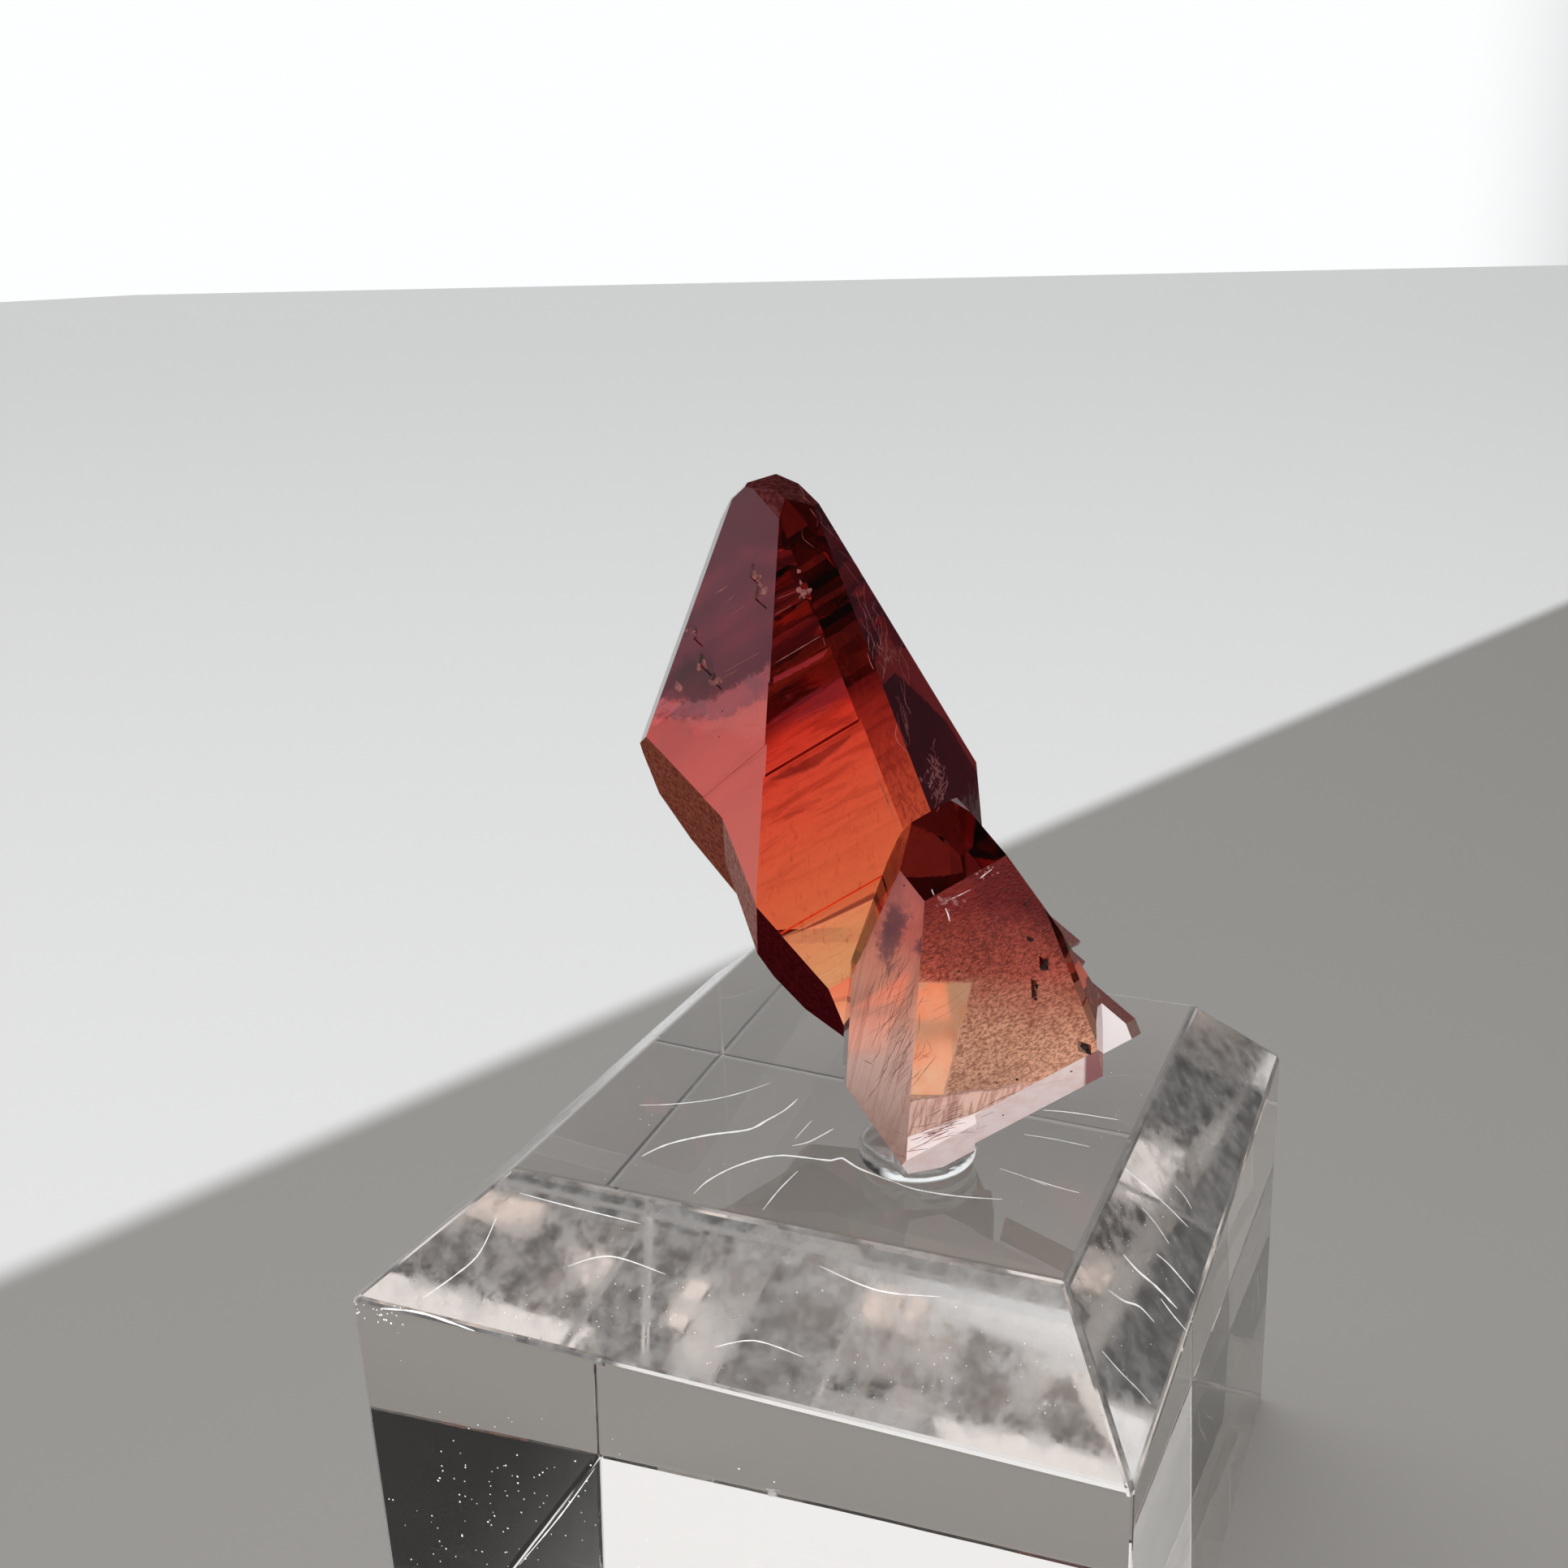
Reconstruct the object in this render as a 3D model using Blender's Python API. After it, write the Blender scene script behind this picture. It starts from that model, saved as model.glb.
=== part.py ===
"""Rhodochrosite crystals held upright by a gel pad on a clear acrylic display block.

Lengths are in millimetres up to the last step, which turns them into metres.
The stand's underside lies on z = 0, its middle is the origin, and +Z points up.
"""
import math

import bmesh
import bpy
from mathutils import Matrix, Vector

MM = 0.001

# Acrylic block: a square display base with a bevelled top
BLOCK_WIDTH = 38.1
BLOCK_DEPTH = 39.2
BLOCK_HEIGHT = 29.8
BEVEL_HEIGHT = 5.1
BEVEL_LEFT = 5.9
BEVEL_RIGHT = 4.3
BEVEL_FRONT = 5.6
BEVEL_BACK = 5.1
POLISHED_EDGE = 0.25
POLISHED_EDGE_STEPS = 3

# Gel pad between the block and the tip of the small crystal
CONTACT_GAP = 0.3
PAD_CENTRE = (5.42, -6.88)
PAD_RADIUS = 2.80
PAD_THICKNESS = 1.15
PAD_RIM_ROUND = 0.42
PAD_DOME = 0.10
PAD_SIDES = 48
PAD_RIM_STEPS = 4

# How the crystal lattice stands: both crystals and the plates share one orientation
AXIS_LEAN = 10.8
LEAN_DIRECTION = -96.4
LATTICE_SPIN = -95.3

# Angles between the crystal axis and the faces of each form of rhodochrosite
STEEP = 68.2
STEEP_SPREAD = 19.1
CLEAVAGE = 43.4
BLUNT = 62.1

# Where the two crystals stand above the block, and where the lower tip is worn flat
MAIN_CENTRE = Vector((-0.77, -1.82, BLOCK_HEIGHT + 18.16))
SMALL_CENTRE = Vector((7.88, -7.11, BLOCK_HEIGHT + 9.51))
WORN_TIP_HEIGHT = BLOCK_HEIGHT + 1.25

# Growth steps: how far across and up the face each begins, and how deep the face then lies
FRONT_STEPS = ((-1.8, 4.3, 0.05), (-2.4, -0.3, 0.12), (-1.7, -7.8, 0.17))
LEFT_STEP = (-1.8, -0.5, 0.06)
STEP_WIDTH = 60.0
STEP_DROP = 40.0

# The back of the main crystal steps in towards its middle at these heights up the face
BACK_STEP_HEIGHTS = (4.2, 2.8, 1.4)
BACK_STEP_DEPTH = 1.13
BACK_EDGE_STEP_DEPTH = 0.77

# Flaked spots and pits: how far across and up the face, width and height
LEFT_FLAKES = (
    (-2.4, 8.7, 0.9, 0.6),
    (-1.9, 7.9, 0.8, 0.8),
    (-6.0, 5.0, 0.7, 0.5),
    (-5.2, 3.8, 0.9, 0.5),
    (-4.2, 3.2, 0.7, 0.4),
)
FRONT_FLAKE = (0.1, 8.5, 0.5, 0.8)
FLAKE_DEPTH = 0.08
SMALL_PITS = (
    (3.9, 1.6, 0.35, 0.45),
    (3.4, 0.4, 0.22, 0.75),
    (5.5, -2.3, 0.5, 0.4),
    (3.3, 2.7, 0.15, 0.2),
)
PIT_DEPTH = 0.3
FLAKE_WALL_SLOPE = 0.6
FLAKE_SKEW = 0.35

# The foot of the small crystal is cleaved back by this much to the right of a small wall
FOOT_STEP_DEPTH = 0.28
FOOT_STEP_START = (-0.9, -3.2)

# Sides of the uncut blanks from which the bodies are cut
BLANK = 100.0
SHOULDER_BLANK = 90.0


def lattice_turn():
    """Turns directions of the crystal lattice into directions of the stand."""
    lean_direction = Matrix.Rotation(math.radians(LEAN_DIRECTION), 3, "Z")
    lean = Matrix.Rotation(math.radians(AXIS_LEAN), 3, "Y")
    spin = Matrix.Rotation(math.radians(LATTICE_SPIN - LEAN_DIRECTION), 3, "Z")
    return lean_direction @ lean @ spin


LATTICE = lattice_turn()
CRYSTAL_AXIS = LATTICE @ Vector((0.0, 0.0, 1.0))


def odd(azimuth, inclination, reach):
    """A face of no particular form: azimuth about the axis, angle from the axis, distance."""
    around = math.radians(azimuth)
    down = math.radians(inclination)
    normal = Vector((math.cos(around) * math.sin(down), math.sin(around) * math.sin(down), math.cos(down)))
    return LATTICE @ normal, reach


def steep(sector, side, reach):
    """Upper face of the scalenohedron: sector 0, 1 or 2, side -1 or +1."""
    return odd(120 * sector + side * STEEP_SPREAD, STEEP, reach)


def steep_under(sector, side, reach):
    """Lower face of the scalenohedron, between two upper sectors."""
    return odd(60 + 120 * sector + side * STEEP_SPREAD, 180 - STEEP, reach)


def cleavage(sector, reach):
    """Upper face of the cleavage rhombohedron."""
    return odd(120 * sector, CLEAVAGE, reach)


def cleavage_under(sector, reach):
    """Lower face of the cleavage rhombohedron."""
    return odd(60 + 120 * sector, 180 - CLEAVAGE, reach)


def blunt(sector, reach):
    """Narrow face that blunts a sharp edge between two sectors."""
    return odd(60 + 120 * sector, BLUNT, reach)


# Faces of the main crystal, seen from the front
FRONT_FACE = steep(0, 1, 3.42)
LEFT_FACE = steep(0, -1, 4.19)
RIGHT_FACE = steep(1, -1, 4.72)
BACK_FACE = steep(2, -1, 10.58)
BACK_EDGE_FACE = blunt(1, 9.81)
BACK_STEP_RISER = (-cleavage_under(1, 0.0)[0], 0.0)
SMALL_FRONT_FACE = steep(0, 1, 1.62)
SMALL_LEFT_FACE = steep(0, -1, 2.41)
SMALL_TOP_FACE = cleavage(0, 3.69)
SMALL_FOOT_FACE = steep_under(0, -1, 5.05)


MAIN_UPPER_FACES = [
    FRONT_FACE,
    LEFT_FACE,
    RIGHT_FACE,
    blunt(0, 4.39),
    blunt(2, 8.42),
    steep(2, 1, 10.34),
    steep(1, 1, 6.54),
    BACK_FACE,
    BACK_EDGE_FACE,
    cleavage(0, 8.32),
    cleavage(2, 12.89),
    odd(95, 40, 10.75),
    odd(-70, 40, 11.93),
    odd(0, 0, 13.28),
    odd(115, 28, 11.25),
    odd(115, 90, 7.22),
]

STEM_LOWER_FACES = [
    odd(-27, 109, 7.37),
    odd(-45, 95, 5.74),
    steep_under(1, 1, 5.68),
    steep_under(1, -1, 8.27),
    cleavage_under(2, 11.74),
    steep_under(2, -1, 8.32),
    odd(0, 180, 13.37),
    steep_under(0, -1, 9.14),
    steep_under(0, 1, 9.91),
]

SHOULDER_LOWER_FACES = [
    odd(-32, 105, 5.67),
    steep_under(1, 1, 7.12),
    steep_under(1, -1, 10.58),
    cleavage_under(2, 10.49),
    steep_under(0, -1, 9.04),
    steep_under(0, 1, 9.81),
    odd(0, 180, 10.77),
]

SMALL_FACES = [
    SMALL_FRONT_FACE,
    SMALL_LEFT_FACE,
    blunt(2, 4.56),
    steep(2, 1, 6.35),
    steep(1, -1, 5.59),
    blunt(0, 4.40),
    steep(1, 1, 4.91),
    SMALL_TOP_FACE,
    odd(-61, 79.1, 5.00),
    steep_under(2, 1, 6.92),
    SMALL_FOOT_FACE,
    cleavage_under(1, 3.33),
    odd(105, 88, 6.16),
    odd(0, 0, 9.24),
    odd(104, 17, 7.70),
    steep(2, -1, 6.64),
    cleavage(2, 7.80),
    cleavage_under(2, 8.08),
]

# Two thin cleavage plates and a splinter grown from the right side of the small crystal
PLATE_INNER_SIDE = (-80, 90)

UPPER_PLATE_FACES = [
    steep(0, 1, -2.50),
    steep_under(1, 1, 3.56),
    cleavage(1, 4.14),
    steep_under(0, 1, 2.50),
    cleavage_under(0, 0.48),
    odd(*PLATE_INNER_SIDE, 0.0),
]

LOWER_PLATE_FACES = [
    steep(0, 1, -1.15),
    steep_under(1, 1, 2.50),
    cleavage(1, 3.37),
    cleavage_under(0, 5.48),
    steep(1, -1, 5.87),
    odd(*PLATE_INNER_SIDE, -1.44),
]

SPLINTER_FACES = [
    steep(0, 1, -1.75),
    steep_under(1, 1, 2.65),
    cleavage(1, 3.85),
    steep_under(0, 1, 3.35),
    cleavage_under(0, 2.60),
    odd(*PLATE_INNER_SIDE, -2.60),
]


def remove_everything():
    """Empties the scene."""
    for old in list(bpy.data.objects):
        bpy.data.objects.remove(old, do_unlink=True)


def new_object(name, shape, hidden=False):
    """Makes an object from an edit mesh, in millimetres."""
    mesh = bpy.data.meshes.new(name)
    shape.to_mesh(mesh)
    shape.free()
    made = bpy.data.objects.new(name, mesh)
    bpy.context.scene.collection.objects.link(made)
    if hidden:
        made.hide_render = True
        made.display_type = "WIRE"
    return made


def cut_by_faces(shape, centre, faces):
    """Cuts a convex shape down to the given faces and closes each cut."""
    for normal, reach in faces:
        everything = shape.verts[:] + shape.edges[:] + shape.faces[:]
        cut = bmesh.ops.bisect_plane(
            shape,
            geom=everything,
            dist=1e-6,
            plane_co=centre + normal * reach,
            plane_no=normal,
            clear_outer=True,
        )
        rim = [item for item in cut["geom_cut"] if isinstance(item, bmesh.types.BMEdge)]
        if rim:
            bmesh.ops.contextual_create(shape, geom=rim)
    bmesh.ops.recalc_face_normals(shape, faces=shape.faces)


def convex_body(name, centre, faces, margin=0.0, hidden=False, blank=BLANK):
    """A closed body bounded by flat faces, each at its own distance from the centre."""
    shape = bmesh.new()
    bmesh.ops.create_cube(shape, size=blank, matrix=Matrix.Translation(centre))
    cut_by_faces(shape, centre, [(normal, reach + margin) for normal, reach in faces])
    return new_object(name, shape, hidden)


def combine(target, tool, operation):
    """Applies one exact Boolean and removes the tool."""
    step = target.modifiers.new(operation.lower(), "BOOLEAN")
    step.operation = operation
    step.solver = "EXACT"
    step.object = tool
    graph = bpy.context.evaluated_depsgraph_get()
    result = bpy.data.meshes.new_from_object(target.evaluated_get(graph))
    target.modifiers.clear()
    target.data = result
    bpy.data.objects.remove(tool, do_unlink=True)


def face_point(centre, face, across, up):
    """A point on a face, measured sideways and up the face from the foot of the centre."""
    normal, reach = face
    sideways = CRYSTAL_AXIS.cross(normal).normalized()
    upwards = normal.cross(sideways)
    return centre + normal * reach + sideways * across + upwards * up


def growth_step(crystal, centre, face, across, up, layer, depth):
    """Takes a thin layer off a face below a cleavage line, which leaves a straight growth step."""
    normal = face[0]
    layer_normal = layer[0]
    start = face_point(centre, face, across, up)
    along = normal.cross(layer_normal).normalized()
    down = -layer_normal
    sides = [
        (-normal, depth),
        (normal, 1.0),
        (-down, 0.0),
        (down, STEP_DROP),
        (along, STEP_WIDTH / 2),
        (-along, STEP_WIDTH / 2),
    ]
    tool = convex_body("growth_step", start, sides, hidden=True)
    combine(crystal, tool, "DIFFERENCE")


def chip(crystal, centre, face, across, up, width, height, depth):
    """A small hollow with sloping cleavage walls."""
    normal = face[0]
    middle = face_point(centre, face, across, up)
    sideways = CRYSTAL_AXIS.cross(normal).normalized()
    upwards = normal.cross(sideways)
    sink = normal * -FLAKE_WALL_SLOPE
    walls = [
        ((sideways + sink).normalized(), width / 2),
        ((-sideways + sink).normalized(), width / 2),
        ((upwards + sideways * FLAKE_SKEW + sink).normalized(), height / 2),
        ((-upwards - sideways * FLAKE_SKEW + sink).normalized(), height / 2),
        (-normal, depth),
        (normal, 0.5),
    ]
    tool = convex_body("chip", middle, walls, hidden=True)
    combine(crystal, tool, "DIFFERENCE")


def main_crystal():
    """The large crystal: its stem, the shoulder on its left, growth steps and flaked spots."""
    stem = convex_body("rhodochrosite_crystals", MAIN_CENTRE, STEM_LOWER_FACES)
    shoulder = convex_body("shoulder", MAIN_CENTRE, SHOULDER_LOWER_FACES, hidden=True, blank=SHOULDER_BLANK)
    combine(stem, shoulder, "UNION")
    combine(stem, convex_body("upper_faces", MAIN_CENTRE, MAIN_UPPER_FACES, hidden=True), "INTERSECT")
    for across, up, depth in FRONT_STEPS:
        growth_step(stem, MAIN_CENTRE, FRONT_FACE, across, up, cleavage(0, 0.0), depth)
    across, up, depth = LEFT_STEP
    growth_step(stem, MAIN_CENTRE, LEFT_FACE, across, up, cleavage(2, 0.0), depth)
    for count, up in enumerate(BACK_STEP_HEIGHTS, start=1):
        depth = BACK_STEP_DEPTH * count
        edge_depth = BACK_EDGE_STEP_DEPTH * count
        growth_step(stem, MAIN_CENTRE, BACK_FACE, 0.0, up, BACK_STEP_RISER, depth)
        growth_step(stem, MAIN_CENTRE, BACK_EDGE_FACE, 0.0, up, BACK_STEP_RISER, edge_depth)
    for flake in LEFT_FLAKES:
        chip(stem, MAIN_CENTRE, LEFT_FACE, *flake, FLAKE_DEPTH)
    chip(stem, MAIN_CENTRE, FRONT_FACE, *FRONT_FLAKE, FLAKE_DEPTH)
    return stem


def worn_tip():
    """The flat at the foot of the small crystal."""
    return Vector((0.0, 0.0, -1.0)), SMALL_CENTRE.z - WORN_TIP_HEIGHT


def small_crystal():
    """The crystal in front, with the cleaved step along its foot and the deep pits on its front face."""
    small = convex_body("small_crystal", SMALL_CENTRE, SMALL_FACES + [worn_tip()], hidden=True)
    foot_normal = SMALL_FOOT_FACE[0]
    foot_wall = (-CRYSTAL_AXIS.cross(foot_normal).normalized(), 0.0)
    growth_step(small, SMALL_CENTRE, SMALL_FOOT_FACE, *FOOT_STEP_START, foot_wall, FOOT_STEP_DEPTH)
    for pit in SMALL_PITS:
        chip(small, SMALL_CENTRE, SMALL_FRONT_FACE, *pit, PIT_DEPTH)
    return small


def crystal_group():
    """All that has grown together, joined in one solid."""
    crystals = main_crystal()
    combine(crystals, small_crystal(), "UNION")
    for name, faces in (
        ("upper_plate", UPPER_PLATE_FACES),
        ("lower_plate", LOWER_PLATE_FACES),
        ("splinter", SPLINTER_FACES),
    ):
        combine(crystals, convex_body(name, SMALL_CENTRE, faces, hidden=True), "UNION")
    return crystals


def pad_profile():
    """Half outline of the pad from the middle of its underside to the middle of its top."""
    bottom = BLOCK_HEIGHT + CONTACT_GAP
    top = bottom + PAD_THICKNESS
    outline = [(0.0, bottom), (PAD_RADIUS - PAD_RIM_ROUND, bottom)]
    for low_side in (True, False):
        middle_height = bottom + PAD_RIM_ROUND if low_side else top - PAD_RIM_ROUND
        start = -90.0 if low_side else 0.0
        for step in range(PAD_RIM_STEPS + 1):
            angle = math.radians(start + 90.0 * step / PAD_RIM_STEPS)
            radius = PAD_RADIUS - PAD_RIM_ROUND + PAD_RIM_ROUND * math.cos(angle)
            outline.append((radius, middle_height + PAD_RIM_ROUND * math.sin(angle)))
    outline.append((PAD_RADIUS * 0.5, top + PAD_DOME * 0.75))
    outline.append((0.0, top + PAD_DOME))
    return outline


def pad_wobble(angle):
    """The pad is not quite round."""
    return 1.0 + 0.012 * math.sin(2 * angle + 0.6) + 0.008 * math.sin(3 * angle + 2.0)


def gel_pad():
    """The soft clear pad, pressed in where the tip of the small crystal stands."""
    shape = bmesh.new()
    outline = pad_profile()
    rings = []
    for radius, height in outline:
        if radius == 0.0:
            rings.append([shape.verts.new((PAD_CENTRE[0], PAD_CENTRE[1], height))])
            continue
        ring = []
        for side in range(PAD_SIDES):
            angle = 2 * math.pi * side / PAD_SIDES
            reach = radius * pad_wobble(angle)
            x = PAD_CENTRE[0] + reach * math.cos(angle)
            y = PAD_CENTRE[1] + reach * math.sin(angle)
            ring.append(shape.verts.new((x, y, height)))
        rings.append(ring)
    for lower, upper in zip(rings, rings[1:]):
        for side in range(PAD_SIDES):
            after = (side + 1) % PAD_SIDES
            corners = [lower[side % len(lower)], lower[after % len(lower)]]
            corners += [upper[after % len(upper)], upper[side % len(upper)]]
            shape.faces.new(list(dict.fromkeys(corners)))
    bmesh.ops.remove_doubles(shape, verts=shape.verts, dist=1e-5)
    bmesh.ops.recalc_face_normals(shape, faces=shape.faces)
    pad = new_object("gel_pad", shape)
    dimple = convex_body("dimple", SMALL_CENTRE, SMALL_FACES + [worn_tip()], CONTACT_GAP, hidden=True)
    combine(pad, dimple, "DIFFERENCE")
    return pad


def acrylic_block():
    """Square block with four sloping bevels around its top, all edges polished round."""
    shape = bmesh.new()
    half_width = BLOCK_WIDTH / 2
    half_depth = BLOCK_DEPTH / 2
    shoulder_height = BLOCK_HEIGHT - BEVEL_HEIGHT
    levels = []
    for height, left, right, front, back in (
        (0.0, 0.0, 0.0, 0.0, 0.0),
        (shoulder_height, 0.0, 0.0, 0.0, 0.0),
        (BLOCK_HEIGHT, BEVEL_LEFT, BEVEL_RIGHT, BEVEL_FRONT, BEVEL_BACK),
    ):
        corners = [
            (-half_width + left, -half_depth + front),
            (half_width - right, -half_depth + front),
            (half_width - right, half_depth - back),
            (-half_width + left, half_depth - back),
        ]
        levels.append([shape.verts.new((x, y, height)) for x, y in corners])
    shape.faces.new(levels[0])
    shape.faces.new(levels[-1])
    for lower, upper in zip(levels, levels[1:]):
        for side in range(4):
            after = (side + 1) % 4
            shape.faces.new([lower[side], lower[after], upper[after], upper[side]])
    bmesh.ops.recalc_face_normals(shape, faces=shape.faces)
    bmesh.ops.bevel(
        shape,
        geom=shape.edges[:],
        offset=POLISHED_EDGE,
        offset_type="OFFSET",
        segments=POLISHED_EDGE_STEPS,
        profile=0.5,
        affect="EDGES",
    )
    return new_object("acrylic_block", shape)


def give_material(target, name, colour, roughness, transmission, bend):
    """One plain material for the object."""
    material = bpy.data.materials.new(name)
    material.use_nodes = True
    shader = material.node_tree.nodes["Principled BSDF"]
    shader.inputs["Base Color"].default_value = (*colour, 1.0)
    shader.inputs["Roughness"].default_value = roughness
    shader.inputs["Metallic"].default_value = 0.0
    shader.inputs["Transmission Weight"].default_value = transmission
    shader.inputs["IOR"].default_value = bend
    material.diffuse_color = (*colour, 1.0)
    target.data.materials.clear()
    target.data.materials.append(material)


def finish(target, smooth):
    """Turns millimetres into metres and sets the shading."""
    target.data.transform(Matrix.Scale(MM, 4))
    for polygon in target.data.polygons:
        polygon.use_smooth = smooth
    target.data.update()


def build():
    """Builds the three nodes."""
    remove_everything()
    crystals = crystal_group()
    pad = gel_pad()
    block = acrylic_block()
    give_material(crystals, "rhodochrosite", (0.55, 0.07, 0.04), 0.15, 0.6, 1.70)
    give_material(pad, "clear_gel", (0.93, 0.93, 0.92), 0.12, 0.9, 1.42)
    give_material(block, "clear_acrylic", (0.80, 0.81, 0.80), 0.04, 0.9, 1.49)
    finish(crystals, smooth=False)
    finish(pad, smooth=True)
    finish(block, smooth=False)


build()
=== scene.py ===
import math
import random

import bmesh
import bpy
from mathutils import Matrix, Vector, noise
from mathutils.bvhtree import BVHTree


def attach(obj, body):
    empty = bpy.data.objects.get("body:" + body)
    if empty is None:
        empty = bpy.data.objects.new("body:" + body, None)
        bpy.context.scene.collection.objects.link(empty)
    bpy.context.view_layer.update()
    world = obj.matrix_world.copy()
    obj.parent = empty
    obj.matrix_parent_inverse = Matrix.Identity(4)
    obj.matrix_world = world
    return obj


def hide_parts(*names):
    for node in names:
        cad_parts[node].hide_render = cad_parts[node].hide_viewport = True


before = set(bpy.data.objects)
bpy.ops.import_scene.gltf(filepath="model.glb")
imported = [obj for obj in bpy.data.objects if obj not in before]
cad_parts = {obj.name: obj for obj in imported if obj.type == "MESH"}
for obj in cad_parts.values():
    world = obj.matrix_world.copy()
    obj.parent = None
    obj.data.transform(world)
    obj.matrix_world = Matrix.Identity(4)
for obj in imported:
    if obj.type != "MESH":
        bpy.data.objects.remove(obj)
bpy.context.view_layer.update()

MM = 0.001

# Corners nearer than this are one, and faces that meet at less than this angle are one facet
WELD_DISTANCE = 1e-7
FLAT_ANGLE = 0.3

# The photo's frame, and the camera at its viewing angle
PHOTO_SIZE = 1932.0
CAMERA_PLACE = Vector((30.281, -73.143, 72.343)) * MM
CAMERA_AZIMUTH = 22.376
CAMERA_ELEVATION = 18.153
CAMERA_ROLL = -1.732
CAMERA_LENS = 38.08
SENSOR_WIDTH = 36.0
CAMERA_SHIFT_X = -0.0487

# Optics: index of refraction, and light lost per metre in red, green and blue
CRYSTAL_INDEX = 1.70
ACRYLIC_INDEX = 1.49
GEL_INDEX = 1.41
CRYSTAL_LOSS = (3.0, 55.0, 70.0)
ACRYLIC_LOSS = (0.5, 1.1, 1.5)

# Shine of the clear crystal, and the gel's tones
CRYSTAL_SHINE = 0.30
GEL_TONES = ((0.97, 0.98, 0.98), (0.90, 0.92, 0.92))

# Acrylic: tones, haze and roughness of the bevels, direction of hairlines, relief in millimetres
ACRYLIC_TONES = ((0.99, 0.985, 0.98), (0.965, 0.96, 0.955))
ACRYLIC_RELIEF = 0.010
BEVEL_TILT = (0.3, 0.95)
BEVEL_HAZE = (0.08, 0.26)
BEVEL_ROUGH = (0.05, 0.16)
HAIR_DIRECTION = Vector((0.8, 0.35, 0.0))

# Where the crystals part: the tone of the small one begins on this side of a plane
PARTING_PLACE = Vector((3.4, -4.6, 43.4))
PARTING_DIRECTION = Vector((0.66, -0.42, -0.62)).normalized()
PARTING_SOFT = 0.7

# Long axis of the large crystal
CRYSTAL_AXIS = Vector((-0.02, -0.186, 0.982)).normalized()

# Painted glow of the scratches and of the dust on the block, standing for light that the edges of scratches
# catch
SCRATCH_PAINTED_GLOW = 0.5

# Ribbons waver in width by a noise of so many cells per millimetre, but keep this share; lumps are ragged
RIBBON_CELLS = 3.0
RIBBON_LEAST = 0.25
LUMP_RAGGED = 0.55
LUMP_CELLS = 1.7
LUMP_FLAT = 0.45

# Lines break where the surface's normal turns by more than this cosine
LINE_BREAK = 0.9

# Strokes: spread of their slant in degrees, bend, and range of length and width, as shares
STROKE_SLANT = 9
STROKE_BEND = 0.12
STROKE_LENGTHS = (0.4, 1.2)
STROKE_WIDTHS = (0.5, 1.4)

# Floor: pale, darker on the object's side of a soft line, its reach and drop in metres
FLOOR_REACH = 3.0
FLOOR_DROP = 2e-5
FLOOR_LINE = (Vector((-71.8, 1.4, 0.0)), Vector((38.3, 279.8, 0.0)))
FLOOR_SOFT = 2.5
FLOOR_FRONT = -12.0
FLOOR_FRONT_SOFT = 14.0
FLOOR_PALE = (0.95, 0.95, 0.95)
FLOOR_GREY = (0.50, 0.48, 0.455)
FLOOR_GLOW = 0.20
FLOOR_ROUGH = 0.65
FLOOR_SHINE = 0.15
FLOOR_RELIEF = 0.03

# Light: a bright wall behind and to the left, a soft box above, a fill from the front
BRIGHT_LEVEL = 0.98
DARK_LEVEL = 0.02
LIGHT_TINT = (0.985, 0.995, 1.0)
WALL_DIRECTION = (-0.62, 0.78, 0.0)
WALL_EDGE = (0.05, 0.60)
WALL_SIDE_DIRECTION = (-1.0, 0.06, 0.0)
WALL_SIDE_EDGE = (-0.10, 0.12)
BOX_DIRECTION = (-0.35, 0.45, 0.85)
BOX_EDGE = (0.62, 0.95)
FILL_POWER = 7.0
FILL_SIZE = 0.5
FILL_PLACE = Vector((0.25, -0.80, 0.25))
FILL_TARGET = Vector((0, 0, 0.04))
LIGHT_BOUNCES = 20

# Facets that a material treats in its own way, each named by a pixel of the photo on it
FACETS = {
    "small_front": (1240, 1250),
    "small_left": (1112, 1290),
    "small_cap": (1170, 1066),
    "small_foot": (1262, 1362),
    "main_left": (870, 870),
    "main_band": (1060, 840),
    "main_right": (1120, 880),
    "main_front": (1000, 1030),
    "shoulder_high": (828, 985),
    "shoulder_low": (910, 1088),
    "dark_foot": (985, 1210),
    "plate_front": (1374, 1272),
    "plate_top": (1374, 1241),
    "lump_top": (1314, 1150),
    "tip_back": (936, 594),
    "tip_right": (975, 606),
    "tip_front": (950, 616),
    "tip_left": (945, 619),
}

# A face belongs to a facet within this depth in millimetres, and with its normal this well aligned
FACET_DEPTH = 0.4
FACET_ALIGNMENT = 0.9995
TIP_FACETS = ("tip_left", "tip_back", "tip_right", "tip_front")
MAIN_FACETS = ("main_front", "main_left", "main_band")
SMALL_FACETS = (
    "small_front", "small_left", "small_cap", "small_foot", "plate_front", "plate_top", "lump_top")

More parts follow.
